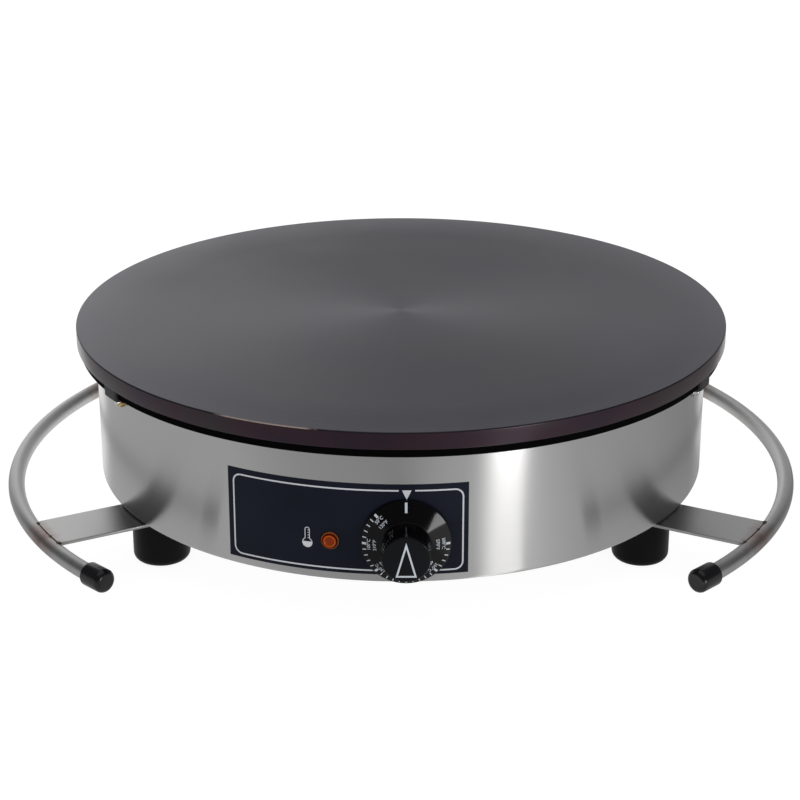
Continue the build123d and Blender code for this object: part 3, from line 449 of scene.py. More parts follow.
def pale_edge_material():
    """The plate's top edge: dark oxide, pale along a stretch at the front left."""
    paint = Paint("pale_edge", Specular_IOR_Level=0.3)
    x, y, _ = paint.axes()
    middle, start, end = radians(-22), radians(6), radians(16)
    direction = paint.math("ARCTAN2", x, paint.times(y, -1.0))
    beside = paint.math("ABSOLUTE", paint.math("SUBTRACT", direction, middle))
    # The edge turns pale within a stretch centred 22 degrees left of the front, fading out beyond, with pale specks.
    pale_stretch = paint.spread(beside, 0.75, 0.0, (start, end))
    chips = paint.times(paint.noise(160.0), 0.5)
    both = paint.plus(pale_stretch, chips)
    tone = paint.ramp(both, (0.80, (0.012, 0.009, 0.010)), (0.98, (0.36, 0.29, 0.25)))
    return paint.finish(tone, paint.spread(chips, 0.35, 0.5), chips, 0.00003, 0.3)


def raw_iron_material():
    """The unmachined black casting under the rim."""
    paint = Paint("black_casting", Specular_IOR_Level=0.03)
    grain = paint.noise(700.0, 5.0)
    tone = paint.ramp(grain, (0.3, (0.0012, 0.0012, 0.0014)), (0.7, (0.0026, 0.0026, 0.003)))
    return paint.finish(tone, paint.spread(grain, 0.7, 0.85), grain, 0.0001, 0.5)


def lens_material():
    """Amber plastic in rings round the lamp's own axis, with painted light on the raised ring and the outer ring and
    painted shade in the groove.
    """
    paint = Paint("amber_lens", Specular_IOR_Level=0.14, Coat_Weight=0.1, Coat_Roughness=0.06)
    lamp_frame = wall_frame(panel_face, lamp_height, lamp_direction)
    here = paint.node("TexCoord").outputs["Object"]
    offset = paint.join("VectorMath", here, lamp_frame.translation * MM, operation="SUBTRACT")
    cross = paint.join("VectorMath", offset, lamp_frame.col[2].to_3d(), operation="CROSS_PRODUCT")
    from_axis = paint.node("VectorMath", {"operation": "LENGTH"}, Vector=cross).outputs["Value"]
    ring = paint.times(from_axis, 1 / (lens_reach * MM))
    fleck = paint.times(paint.noise(1500.0, 2.0), 0.05)
    # Painted light and shade by distance from the lamp's axis: amber middle, lighter raised ring, dark groove,
    # lighter outer ring.
    stops = (
        (0.40, (0.27, 0.032, 0.001)),
        (0.56, (0.30, 0.038, 0.001)),
        (0.64, (0.62, 0.130, 0.008)),
        (0.72, (0.45, 0.065, 0.004)),
        (0.78, (0.15, 0.008, 0.001)),
        (0.90, (0.18, 0.014, 0.002)),
        (0.96, (0.36, 0.090, 0.020)),
    )
    tone = paint.ramp(paint.plus(ring, fleck), *stops)
    return paint.finish(tone, 0.18, paint.noise(300.0, 2.0), 0.00002, 0.2)


def casing_material():
    """Steel brushed round the casing: fine grain, slow clouds, and highlights stretched across the grain."""
    paint = Paint("casing_steel", Metallic=1.0, Anisotropic=0.88, Anisotropic_Rotation=0.25)
    grain = paint.noise(1.0, 4.0, (14, 14, 3600))
    both = paint.weigh(grain, 0.75, paint.noise(9.0, 2.0))
    steel = (0.58, 0.575, 0.57)
    paint.tangent()
    tone = paint.ramp(both, (0.35, dimmed(steel, 0.985)), (0.65, dimmed(steel, 1.015)))
    return paint.finish(tone, paint.spread(both, 0.22, 0.26), grain, 0.00001, 0.1)


def strap_material():
    """Brushed along its length, with painted shade beside the casing, and brown heat tint where it is welded to the
    tube.
    """
    paint = Paint("strap_steel", Metallic=1.0)
    grain = paint.noise(1.0, 4.0, vector=paint.polar(420.0, 35.0, 400.0))
    both = paint.weigh(grain, 0.6, paint.noise(28.0))
    steel = paint.ramp(both, (0.35, (0.40, 0.395, 0.39)), (0.65, (0.45, 0.445, 0.44)))
    outward = paint.plus(paint.radius(), paint.centred(paint.noise(110.0), 0.012))
    tint = paint.spread(outward, 0.0, 0.55, (0.2345, 0.2405))
    # Painted shade: the strap turns dark grey beside the casing, standing in for its shadow and dark reflection
    # there.
    painted_shade = paint.spread(outward, 0.34, 0.0, (0.184, 0.206))
    tone = paint.mix(painted_shade, paint.mix(tint, steel, (0.24, 0.18, 0.145)), (0.11, 0.11, 0.11))
    return paint.finish(tone, paint.spread(both, 0.27, 0.35), grain, 0.00002, 0.2)


def tube_material():
    """Tube brushed along its length, with a few duller stretches and a brown tint beside the welds."""
    paint = Paint("tube_steel", Metallic=1.0)
    grain = paint.noise(1.0, 4.0, vector=paint.polar(26.0, 1300.0, 1300.0))
    both = paint.weigh(grain, 0.45, paint.noise(1.0, 4.0, vector=paint.polar(30.0, 160.0, 160.0)))
    steel = paint.ramp(both, (0.33, (0.46, 0.455, 0.45)), (0.64, (0.54, 0.535, 0.53)))
    x, y, _ = paint.axes()
    across = paint.math("ABSOLUTE", paint.math("ARCTAN2", y, paint.math("ABSOLUTE", x)))
    beside = paint.math("ABSOLUTE", paint.math("SUBTRACT", across, radians(31.0)))
    blotch = paint.times(paint.noise(120.0), 0.10)
    tint = paint.spread(paint.plus(beside, blotch), 0.8, 0.0, (0.05, 0.14))
    tone = paint.mix(tint, steel, (0.27, 0.175, 0.145))
    return paint.finish(tone, paint.spread(both, 0.38, 0.48), grain, 0.00003, 0.3)


casing_steel = casing_material()
tube_steel = tube_material()
strap_steel = strap_material()
zinc = plain_metal("zinc_plate", (0.55, 0.55, 0.54), 0.32)
bright_steel = plain_metal("bright_steel", (0.88, 0.88, 0.87), 0.24)
brass = plain_metal("turned_brass", (0.86, 0.62, 0.24), 0.26)
copper = plain_metal("drawn_copper", (0.80, 0.42, 0.27), 0.28)
aluminised = plain_metal("aluminised_sheet", (0.62, 0.62, 0.60), 0.42, 200.0)
weld = plain_metal("weld_bead", (0.10, 0.085, 0.075), 0.45, 1500.0)
sheath = plain_metal("element_sheath", (0.12, 0.10, 0.09), 0.5)
seasoned_top = plate_top_material()
browned_rim = plate_rim_material()
pale_edge = pale_edge_material()
black_casting = raw_iron_material()
lug_iron = plastic("cast_lug", (0.026, 0.0258, 0.025), 0.5, 700.0, 0.0001, 0.3, 0.4)
foil = plastic("panel_foil", (0.0078, 0.0108, 0.0215), 0.34, 1500.0, 0.00001, 0.15, 0.14)
print_white = plastic("white_print", (0.78, 0.80, 0.84), 0.5, 1500.0, 0.00001, 0.04)
dial_print = plastic("dial_print", (0.74, 0.80, 0.86), 0.45, 1500.0, 0.00001, 0.04)
knob_black = plastic("phenolic_black", (0.0025, 0.0025, 0.003), 0.09, 400.0, 0.000005, 0.2, 0.24)
knob_face = plastic("knob_face", (0.0045, 0.0050, 0.0075), 0.30, 900.0, 0.00002, 0.2, 0.2)
cap_black = plastic("cap_vinyl", (0.0045, 0.0046, 0.0062), 0.22, 700.0, 0.00002, 0.2, 0.5)
rubber = plastic("foot_rubber", (0.0022, 0.0022, 0.0032), 0.32, 900.0, 0.00003, 0.25, 0.15)
nylon = plastic("black_nylon", (0.014, 0.014, 0.015), 0.38, 900.0, 0.00004, 0.2)
ceramic = plastic("steatite", (0.72, 0.70, 0.65), 0.55, 500.0, 0.00003, 0.05)
sleeving = plastic("glass_sleeving", (0.70, 0.67, 0.58), 0.8, 1500.0, 0.0001, 0.08)
fibre = plastic("mineral_fibre", (0.75, 0.73, 0.68), 0.9, 350.0, 0.0006, 0.1)
amber = lens_material()


# ---- Cooking plate ----


def cooking_plate():
    """Top, edge, black lip and skirt as one turned casting, with three lugs flush with the edge."""
    lip, skirt = plate_radius - lip_inset, casing_radius - skirt_gap
    skirt_bottom, skirt_inside = rim_bottom - skirt_height, skirt - skirt_wall
    top = rounded([(0, plate_top), (plate_radius, plate_top, 0.9), (plate_radius, rim_bottom)], steps=5)
    edge = rounded([(plate_radius, plate_top - 2), (plate_radius, rim_bottom, 0.5), (lip, rim_bottom)], steps=3)[1:]
    under = rounded([
        (plate_radius - 1.4, rim_bottom),
        (lip, rim_bottom, 0.2),
        (lip, lip_bottom, 0.9),
        (skirt, lip_bottom, 0.4),
        (skirt, skirt_bottom, 0.6),
        (skirt_inside, skirt_bottom, 0.6),
        (skirt_inside, rim_bottom, 0.6),
        (0, rim_bottom),
    ], steps=4)[1:]
    flat = [(radius, plate_top) for radius in range(0, 200, 40)]
    outline = flat + top[1:-1] + edge[:-1] + under
    pale_start = len(flat) + 1
    turned = len(flat) + len(top) - 4
    raw = turned + len(edge)
    spans = ((pale_start, turned, PALE_EDGE), (turned, raw, RIM), (raw, len(outline), RAW))
    bm = bmesh.new()
    lathe(bm, outline, segments=PLATE_ROUND, spans=spans)
    for direction in lug_directions:
        lug(bm, direction)
    irons = [seasoned_top, browned_rim, black_casting, lug_iron, pale_edge]
    piece("cast_plate", bm, "cast_iron", irons, ["cooking_plate"], sharp=40)


def lug(bm, direction):
    """A cast lug under the edge of the plate, with a curved face flush with it."""
    half = degrees(lug_width / 2 / plate_radius)
    inner, face = casing_radius - 4, plate_radius - 0.15
    bottom, top = lip_bottom - lug_drop, rim_bottom + 0.4
    profile = rounded([(inner, top), (inner, bottom), (face, bottom, 0.8), (face, top)], steps=4)
    angles = evenly(direction - half, direction + half, 12)
    rings = []
    for angle in angles:
        points = []
        for radius, level in profile:
            tuck = 0.6 if radius > inner and angle in (angles[0], angles[-1]) else 0
            points.append(arc_point(angle, radius - tuck, level + (tuck if level < top else 0)))
        rings.append(ring_of(bm, points))
    skin(bm, rings, LUG, capped=True)


def lug_fasteners():
    """Studs with washers and nuts under the lugs; the nut of the left one is brass."""
    washer_pitch, washers, nut_height, tail = 1.05, 2, 3.6, 2.4
    across, stud, washer = 5.6, 1.6, 3.2
    nut_start = washers * washer_pitch
    nut_end = nut_start + nut_height
    stud_end = nut_end + tail
    for name, direction in zip(("left", "right", "rear"), lug_directions):
        first = name == "left"
        place = wall_frame(casing_radius + 0.05, stud_height + 0.8, direction)
        bm = bmesh.new()
        lathe(bm, rounded([(0, -2), (stud, -2), (stud, stud_end, 0.9), (0, stud_end)]), place, SMALL_ROUND)
        for low in [i * washer_pitch for i in range(washers)]:
            ring = rounded([(stud, low), (washer, low, 0.2), (washer, low + 1, 0.2), (stud, low + 1)])
            lathe(bm, ring, place, SMALL_ROUND, closed=True)
        piece(f"lug_stud_{name}", bm, "zinc_steel", bright_steel, ["lug_washers"] if first else ())
        bm = bmesh.new()
        hex_nut(bm, place, across, nut_start, nut_end, stud + 0.05)
        finish = ("brass", brass) if first else ("zinc_steel", bright_steel)
        piece(f"lug_nut_{name}", bm, *finish, ["lug_screws"] if first else ())


def hex_nut(bm, place, across, low, high, bore):
    """A hexagonal nut whose corners are turned down at both faces."""
    corner, turned, slope, steps = across / sqrt(3), across / 2 - 0.1, 0.5, 60
    profile = (
        (low, bore), (low, turned), (low + slope, corner), (high - slope, corner), (high, turned), (high, bore),
    )
    rings = []
    for height, reach in profile:
        points = []
        for k in range(steps):
            a = 2 * pi * k / steps
            radius = min(across / 2 / cos(a % (pi / 3) - pi / 6), reach)
            points.append(place @ Vector((radius * cos(a), radius * sin(a), height)))
        rings.append(ring_of(bm, points))
    skin(bm, rings, closed=True)


# ---- Casing and base ----


def casing():
    """The ring: outer wall, bottom bend with an inward flange, and a rolled rim at the top."""
    inner, rim_inner, flange_inner = [casing_radius - depth for depth in (sheet, rim_bead, flange_width)]
    outline = rounded([
        (flange_inner, casing_bottom, 0.3),
        (casing_radius, casing_bottom, flange_bend),
        (casing_radius, casing_top, 0.95),
        (rim_inner, casing_top, 0.95),
        (rim_inner, casing_top - rim_bead_height, 0.3),
        (inner, casing_top - rim_bead_height, 0.3),
        (inner, casing_bottom + sheet, flange_bend - sheet),
        (flange_inner, casing_bottom + sheet, 0.3),
    ], closed=True, steps=6)
    turned_piece("casing_wall", outline, None, "stainless", casing_steel, "casing_ring", True, 50, CASING_ROUND)


# ---- Handles, straps and feet ----


def arc_degrees(length):
    """The angle that a length spans on the handle's bend."""
    return degrees(length / handle_radius)


def handle_tube(side):
    name = "right" if side > 0 else "left"
    directions = evenly(side * 90 - handle_half_angle, side * 90 + handle_half_angle, 160)
    stations = [(direction, tube_radius) for direction in directions]
    bm = bmesh.new()
    arc_tube(bm, [(directions[0], 0)] + stations + [(directions[-1], 0)])
    piece(f"bent_tube_{name}", bm, "stainless", tube_steel, [f"handle_tube_{name}"])


def end_cap(name, side, end):
    """A soft cap over a tube's end: a rolled mouth, a straight sleeve and a domed end."""
    inward = -side * end
    tip = side * 90 - inward * (handle_half_angle + arc_degrees(cap_wall + 0.1))
    bore = tube_radius + 0.1
    outline = rounded([
        (0, 0),
        (cap_radius, 0, cap_rounding),
        (cap_radius, cap_length, 0.7),
        (bore, cap_length, 0.4),
        (bore, cap_wall),
        (0, cap_wall),
    ], steps=10)
    bm = bmesh.new()
    arc_tube(bm, [(tip + inward * arc_degrees(along), radius) for radius, along in outline])
    piece(f"cap_{name}", bm, "black_rubber", cap_black, [f"end_cap_{name}"])


def strap_direction(side, end):
    return side * (90 + end * (rear_strap if end > 0 else front_strap))


def strap(name, side, end):
    """A flat strip over a foot, turned a little towards the middle of its handle, coped and welded to the tube."""
    direction = strap_direction(side, end)
    turn = radians(direction - 90 - side * end * strap_skew)
    place = Matrix.Translation(arc_point(direction, foot_circle, 0)) @ Matrix.Rotation(turn, 4, "Z")
    half, edge, beyond, near = strap_width / 2, 0.25, 40, 0.01
    drop = foot_top - tube_level
    cope, weld_edge = handle_radius - sqrt((tube_radius + 0.1) ** 2 - drop ** 2), handle_radius - strap_weld_land
    corners = (beyond, half), (-strap_tail, half, strap_corner), (-strap_tail, -half, strap_corner), (beyond, -half)
    tail = rounded(corners)[1:-1]
    across = evenly(-half, half, 24)
    bm = bmesh.new()
    rings = []
    for level, reach, inset in (
        (foot_top, cope, edge),
        (foot_top + edge, cope, 0),
        (casing_bottom - edge, weld_edge, 0),
        (casing_bottom, weld_edge, edge),
    ):
        points = []
        for x, y in tail + [(strap_reach(place, reach, y), y) for y in across]:
            y -= inset * (1 if y > half - near else -1 if y < near - half else 0)
            points.append(place @ Vector((x, y, level)))
        rings.append(ring_of(bm, points))
    skin(bm, rings, capped=True)
    piece(f"strap_{name}", bm, "stainless", strap_steel, [f"handle_strap_{name}"], sharp=30)
    weld_tacks(name, place, half)


def strap_reach(place, reach, y):
    """How far along a strap a circle about the machine's axis lies, on the line at y across the strap."""
    centre = place.inverted() @ Vector((0, 0, 0))
    return centre.x + sqrt(reach ** 2 - (y - centre.y) ** 2)


def weld_tacks(name, place, half):
    """Three groups of low rough drops at the weld along a strap's end."""
    reach, level = handle_radius - strap_weld_land + 0.2, casing_bottom - 0.4
    bm = bmesh.new()
    flatness = 0.55
    for across, size in ((half - 1.2, 1.6), (half * 0.3, 1.2), (-half + 2.4, 1.35)):
        for shift, share in ((-0.7, 0.75), (0.35, 1.0), (1.1, 0.6)):
            y, radius = across + shift * size, size * share
            at = place @ Vector((strap_reach(place, reach, y), y, level))
            drop = [(radius * cos(a), radius * flatness * sin(a)) for a in evenly(-pi / 2, pi / 2, 6)]
            lathe(bm, drop, Matrix.Translation(at), DROP_ROUND)
    piece(f"weld_{name}", bm, "stainless", weld, sharp=60)


def foot(name, side, end):
    """A rubber foot: rounded sole edge, soft upper edge, and a recess for its screw."""
    at = arc_point(strap_direction(side, end), foot_circle, 0)
    outline = rounded([
        (0, foot_recess_depth),
        (foot_recess, foot_recess_depth, 0.5),
        (foot_recess, 0, 1.0),
        (foot_radius, 0, foot_rounding),
        (foot_radius, foot_top, 0.8),
        (0, foot_top),
    ], steps=8)
    turned_piece(f"rubber_{name}", outline, Matrix.Translation(at), "black_rubber", rubber, f"foot_{name}")


# ---- Control panel ----


def on_panel(along, height, lift):
    """A point over the foil: a length round the casing, a height, and a distance off the foil."""
    return arc_point(degrees(along / casing_radius), panel_face + lift, height)


def panel():
    """The foil, bent round the casing."""
    low, high = panel_low.z, panel_high.z
    back, soft = -panel_sheet, 0.06
    section = ((low, back), (low, -soft), (low + soft, 0), (high - soft, 0), (high, -soft), (high, back))
    bm = bmesh.new()
    stations = evenly(panel_left, panel_right, 120)
    rings = [ring_of(bm, [on_panel(along, height, lift) for height, lift in section]) for along in stations]
    skin(bm, rings, capped=True)
    piece("panel_foil", bm, "panel_foil", foil, ["control_panel"], sharp=20)
    panel_print()


def path_strip(points, width, closed=False):
    """The two sides of a line of that width."""
    points = [Vector(point) for point in points]
    first, last = (points[-1], points[0]) if closed else (points[0], points[-1])
    left, right = [], []
    for before, point, after in zip([first] + points, points, points[1:] + [last]):
        run = (after - before).normalized()
        normal = Vector((-run.y, run.x)) * width / 2
        left.append(point + normal)
        right.append(point - normal)
    return left, right


def subdivided(points):
    """The same line with no run longer than 2 mm."""
    points = [Vector(point) for point in points]
    result = points[:1]
    for one, other in zip(points, points[1:]):
        count = max(1, ceil((other - one).length / 2))
        result += [one.lerp(other, k / count) for k in range(1, count + 1)]
    return result


def panel_print():
    """White outline with a gap for the pointer, the pointer, and a thermometer beside the lamp."""
    left, right, low, high, corner, line = -97.4, 34.3, panel_low.z + 2.4, panel_high.z - 3.6, 4.6, 0.9
    gap_left, gap_right = -1.3, 7.7
    outline = rounded([
        (gap_right, high),
        (right, high, corner),
        (right, low, corner),
        (left, low, corner),
        (left, high, corner),
        (gap_left, high),
    ])
    bm = bmesh.new()
    ribbon(bm, *path_strip(subdivided(outline), line), on_panel, ink)
    middle, half, tip_half, tip = 3.1, 2.6, 0.1, high - 5.2
    top = high + line / 2 - 0.2
    sides = [[(middle + side * half, top), (middle + side * tip_half, tip)] for side in (-1, 1)]
    ribbon(bm, *sides, on_panel, ink)
    thermometer(bm, -52.5, lamp_height - 2.9)
    piece("panel_lines", bm, "panel_foil", print_white, sharp=20)


def thermometer(bm, along, height):
    """A generic thermometer: outlined stem with four ticks, and a bulb filled below a level."""
    bulb, stem, stem_top, line, level = 2.75, 1.25, height + 7.9, 0.42, 0.55
    ticks, first_tick, tick_pitch, tick_start, tick_half = 4, stem_top - 0.3, 1.55, 0.2, 0.17
    start = atan2(sqrt(bulb ** 2 - stem ** 2), stem)
    round_bulb = [(along + bulb * cos(a), height + bulb * sin(a)) for a in evenly(start, -pi - start, 40)]
    crown = [(along - stem * cos(a), stem_top + stem * sin(a)) for a in evenly(0, pi, 12)]
    ribbon(bm, *path_strip(round_bulb + crown, line, closed=True), on_panel, ink, closed=True)
    levels = [(y, sqrt(max(bulb ** 2 - y ** 2, 0.02))) for y in evenly(-bulb, level, 16)]
    fill = [[(along + side * half, height + y) for y, half in levels] for side in (-1, 1)]
    ribbon(bm, *fill, on_panel, ink)
    for y in [first_tick - tick_pitch * k for k in range(ticks)]:
        tick = [[(along + x, y + side * tick_half) for x in (tick_start, stem)] for side in (-1, 1)]
        ribbon(bm, *tick, on_panel, ink)


# ---- Pilot lamp ----


def pilot_lamp():
    """A one-piece amber lamp: outer ring, deep groove, raised ring and a shallow dished centre."""
    place = wall_frame(panel_face + 0.1, lamp_height, lamp_direction)
    ring = rounded([
        (lamp_lens + 0.05, -1.5),
        (lamp_lens + 0.05, 0.25),
        (lamp_bezel - 0.55, 0.25, 0.1),
        (lamp_bezel - 0.5, lamp_bezel_height, 0.2),
        (lamp_bezel, lamp_bezel_height - 0.2, 0.2),
        (lamp_bezel, 0),
        (lamp_bezel - 0.8, 0),
        (lamp_bezel - 0.8, -1.5),
    ], closed=True, steps=4)
    turned_piece("lamp_ring", ring, place, "lamp_body", amber, "pilot_lamp_body", True, 50)
    top = lamp_lens_height + 0.6
    lens = rounded([
        (0, top - 0.45),
        (lamp_lens - 1.3, top - 0.4, 0.3),
        (lamp_lens - 0.85, top, 0.3),
        (lamp_lens - 0.15, top - 0.1, 0.3),
        (lamp_lens, top - 0.8, 0.3),
        (lamp_lens, -1.4),
        (0, -1.4),
    ], steps=5)
    turned_piece("lamp_lens", lens, place, "amber_lens", amber, "pilot_lamp_lens", False, 50)


# ---- Knob ----


knob_place = wall_frame(0, 0, 0)
knob_place.translation = Vector((knob_x, knob_high.y, knob_z))
face_height = knob_length - face_relief


def cone_height(radius):
    share = (knob_skirt - radius) / (knob_skirt - knob_cone_radius)
    return knob_edge + knob_cone_depth * share


def on_cone(turn, radius, lift):
    """A point over the dial: a turn counter-clockwise from the top as seen by the user, in degrees."""
    a = radians(90 + turn)
    return knob_place @ Vector((radius * cos(a), radius * sin(a), cone_height(radius) + lift * cone_slant))


def on_face(x, y, lift):
    return knob_place @ Vector((x, y, face_height + lift))


def knob():
    """Skirt with the dial on its cone, and a slightly tapered hub with a flat face."""
    hub = knob_edge + knob_cone_depth
    wall, shelf = 2.0, 1.0
    outline = rounded([
        (0, face_height),
        (knob_face_radius, face_height, 0.7),
        (knob_hub_radius, hub, 0.6),
        (knob_cone_radius, hub, 0.3),
        (knob_skirt, knob_edge, 0.6),
        (knob_skirt, 0, 0.3),
        (knob_skirt - wall, 0, 0.3),
        (knob_skirt - wall, knob_edge - shelf, 0.1),
        (knob_hub_radius - wall, hub - wall, 1.0),
        (knob_face_radius - wall, knob_length - wall, 1.0),
        (0, knob_length - wall),
    ], steps=6)
    bm = bmesh.new()
    lathe(bm, outline, knob_place, spans=((0, 1, FACE),))
    piece("knob_body", bm, "black_gloss", [knob_black, knob_face], ["knob"], "dial", 50)
    dial_marks()
    dial_numbers()
    face_pointer()


def dial_marks():
    """The zero mark, and a scale from 50 to 300 in tens, bold at each fifty."""
    # Inner radius, outer radius and width.
    zero, bold, fine = (18.9, 24.2, 1.4), (22.0, 24.3, 1.35), (22.2, 24.3, 0.6)
    tens = evenly(dial_step, 6 * dial_step, 25)
    bm = bmesh.new()
    for turn, (inner, outer, width) in [(0, zero)] + [(turn, fine if k % 5 else bold) for k, turn in enumerate(tens)]:
        radii = evenly(inner, outer, 3)
        sides = [[(turn + side * degrees(width / 2 / radius), radius) for radius in radii] for side in (-1, 1)]
        ribbon(bm, *sides, on_cone, 0.04)
    piece("dial_marks", bm, "black_gloss", dial_print, body="dial", sharp=20)


def dial_numbers():
    """Temperatures on the cone, reading from outside: Celsius above, Fahrenheit below."""
    labels = (("50", "120"), ("100", "210"), ("150", "300"), ("200", "390"), ("250", "480"), ("300", "570"))
    size, outside, inside = 2.55, 19.9, 16.7
    bm = bmesh.new()
    for i, (celsius, fahrenheit) in enumerate(labels):
        turn = dial_step * (i + 1) + 1
        bent_text(bm, celsius + "°C", size, turn, outside)
        bent_text(bm, fahrenheit + "°F", size, turn, inside)
    piece("dial_numbers", bm, "black_gloss", dial_print, body="dial", sharp=20)


def bent_text(bm, words, size, turn, radius):
    """Thin letters laid on the cone, their tops outward."""
    curve = bpy.data.curves.new("letters", "FONT")
    curve.body = words
    curve.size = size
    curve.align_x = "CENTER"
    curve.resolution_u = 3
    curve.offset = 0.02
    letters = bpy.data.objects.new("letters", curve)
    mesh = bpy.data.meshes.new_from_object(letters)
    flat = bmesh.new()
    flat.from_mesh(mesh)
    bmesh.ops.remove_doubles(flat, verts=flat.verts, dist=1e-4)
    low, high = [
        {v: bm.verts.new(on_cone(turn - degrees(v.co.x / radius), radius + v.co.y, lift)) for v in flat.verts}
        for lift in (0, 0.06)
    ]
    for face in flat.faces:
        bm.faces.new([high[v] for v in face.verts])
        bm.faces.new([low[v] for v in reversed(face.verts)])
    for edge in flat.edges:
        if len(edge.link_faces) == 1:
            one, other = edge.verts
            bm.faces.new((low[one], low[other], high[other], high[one]))
    flat.free()
    bpy.data.objects.remove(letters)
    bpy.data.curves.remove(curve)
    bpy.data.meshes.remove(mesh)


def face_pointer():
    """The outlined triangle on the knob's face."""
    top, bottom, half, line = 10.4, -10.4, 5.8, 1.0
    corners = [Vector((0, top)), Vector((half, bottom)), Vector((-half, bottom))]
    inner = []
    for i, here in enumerate(corners):
        before = (corners[i - 1] - here).normalized()
        after = (corners[(i + 1) % 3] - here).normalized()
        inner.append(here + (before + after).normalized() * line / sin(before.angle(after) / 2))
    bm = bmesh.new()
    ribbon(bm, corners, inner, on_face, face_relief, closed=True)
    piece("face_pointer", bm, "black_gloss", dial_print, body="dial", sharp=20)


# ---- Cable inlet ----


def cable_inlet():
    """Hexagonal body, sealing ring, dome nut with a turned crown, and the rubber insert in its mouth."""
    place = wall_frame(casing_radius, gland_height, 180)
    seal, flange, across = 1.6, 5.0, 24.0
    seal_bore, seal_radius, body_bore = 9.9, 13, 6.6
    dome_start, dome_length, grip = seal + flange + 0.1, 17.2, 10.0
    dome_radius, insert, insert_depth, mouth = 11.4, 7.0, 9.1, 5.4
    dome_end, dome_bore = dome_start + dome_length, insert + 0.1
    ring = [(seal_bore, 0.4), (seal_radius, 0.4, 0.4), (seal_radius, seal, 0.4), (seal_bore, seal)]
    turned_piece("inlet_seal", rounded(ring, True, 4), place, "black_rubber", rubber, "gland_seal", True)
    bm = bmesh.new()
    hex_nut(bm, place, across, seal, seal + flange, body_bore)
    piece("inlet_body", bm, "black_nylon", nylon, ["gland_body"])
    crown = rounded([
        (dome_bore, dome_start + 1),
        (dome_radius, dome_start + 1),
        (dome_radius, dome_end, 4.2),
        (dome_bore, dome_end, 0.1),
    ], True, 10)
    bm = bmesh.new()
    hex_nut(bm, place, across, dome_start, dome_start + grip, dome_bore)
    lathe(bm, crown, place, MIDDLE_ROUND, closed=True)
    piece("inlet_dome", bm, "black_nylon", nylon, ["gland_dome_nut"])
    lips = rounded([
        (insert, dome_start + insert_depth),
        (insert, dome_end - 0.1, 0.3),
        (mouth, dome_end - 0.1, 0.6),
        (mouth, dome_start + insert_depth),
    ], True, 5)
    turned_piece("inlet_insert", lips, place, "black_rubber", rubber, "gland_insert", True)


# ---- Materials of the CAD nodes that stay ----


def dress_nodes():
    """Gives each CAD node that stays its material."""
    looks = {
        aluminised: ("base_plate", "reflector_pan"),
        sheath: ("heating_element",),
        ceramic: ("element_insulators", "thermostat_base", "terminal_block"),
        brass: ("element_terminals", "thermostat_tags", "terminal_screws", "earth_stud", "earth_nuts", "lug_screws"),
        zinc: (
            "clamp_bars", "plate_studs", "stud_washers", "stud_nuts", "foot_screws", "foot_washers", "foot_nuts",
            "lug_washers", "thermostat_cup", "thermostat_bracket", "thermostat_screws", "bracket_screws",
            "thermostat_spindle", "bulb_clip", "bulb_clip_screw", "knob_spring",
        ),
        copper: ("thermostat_bulb", "capillary_tube"),
        sleeving: ("power_leads", "lamp_leads", "earth_lead"),
        fibre: ("insulation_disc",),
        nylon: ("pilot_lamp_nut", "gland_locknut", "gland_body", "gland_dome_nut"),
        rubber: ("gland_seal", "gland_insert") + tuple("foot_" + name for name in CORNERS),
        cap_black: tuple("end_cap_" + name for name in CORNERS),
        strap_steel: tuple("handle_strap_" + name for name in CORNERS),
        tube_steel: ("handle_tube_left", "handle_tube_right"),
        casing_steel: ("casing_ring",),
        seasoned_top: ("cooking_plate",),
        foil: ("control_panel",),
        knob_black: ("knob",),
        amber: ("pilot_lamp_body", "pilot_lamp_lens"),
    }
    for material, names in looks.items():
        for name in names:
            mesh = frame["nodes"][name].data
            mesh.materials.clear()
            mesh.materials.append(material)


# ---- Stage: floor, world, lamp and camera ----

# The studio's colours: dull surfaces are lit by PLAIN_LIGHT, and shiny ones see the others.
WHITE = (1.0, 1.0, 1.0)
LEFT_WHITE = (1.09, 1.09, 1.10)
RIGHT_WHITE = (0.62, 0.62, 0.63)
BACK_ABOVE = (0.52, 0.52, 0.535)
DARK_ROOM = (0.10, 0.10, 0.105)
RIGHT_NEAR = (0.42, 0.42, 0.425)
RIGHT_FAR = (0.90, 0.90, 0.90)
OVERHEAD = (0.55, 0.55, 0.555)
PLAIN_LIGHT = (0.62, 0.62, 0.63)
STRIP_GLEAM = (1.27, 1.27, 1.27)
# Greys by direction in degrees, from straight ahead round to both sides.
ROUND_GREYS = (
    (-130, 0.50), (-64, 0.55), (-40, 0.44), (-2, 0.38), (16, 0.55), (50, 0.66), (64, 0.53), (96, 0.43), (120, 0.32),
)
# The strip lamp reaches from STRIP_LEFT to STRIP_RIGHT, in degrees, as seen from STRIP_AT, in metres.
STRIP_AT = (0.005, -0.106)
STRIP_LEFT, STRIP_RIGHT = 32.6, 44.2
# The floor's reach in metres, its colour towards the object, and its colour and glow towards the camera.
FLOOR_REACH = 30.0
FLOOR_PAPER = (0.75, 0.75, 0.75)
FLOOR_SHADED, FLOOR_GLOW = (0.20, 0.20, 0.20), 0.93


def shiny_ray(nodes, rays):
    return nodes.math("MAXIMUM", rays["Is Glossy Ray"], rays["Is Transmission Ray"])


def round_grey(nodes, azimuth):
    stops = [(direction / 360 + 0.5, (grey, grey, grey * 1.01)) for direction, grey in ROUND_GREYS]
    return nodes.ramp(nodes.plus(nodes.math("DIVIDE", azimuth, 2 * pi), 0.5), *stops)


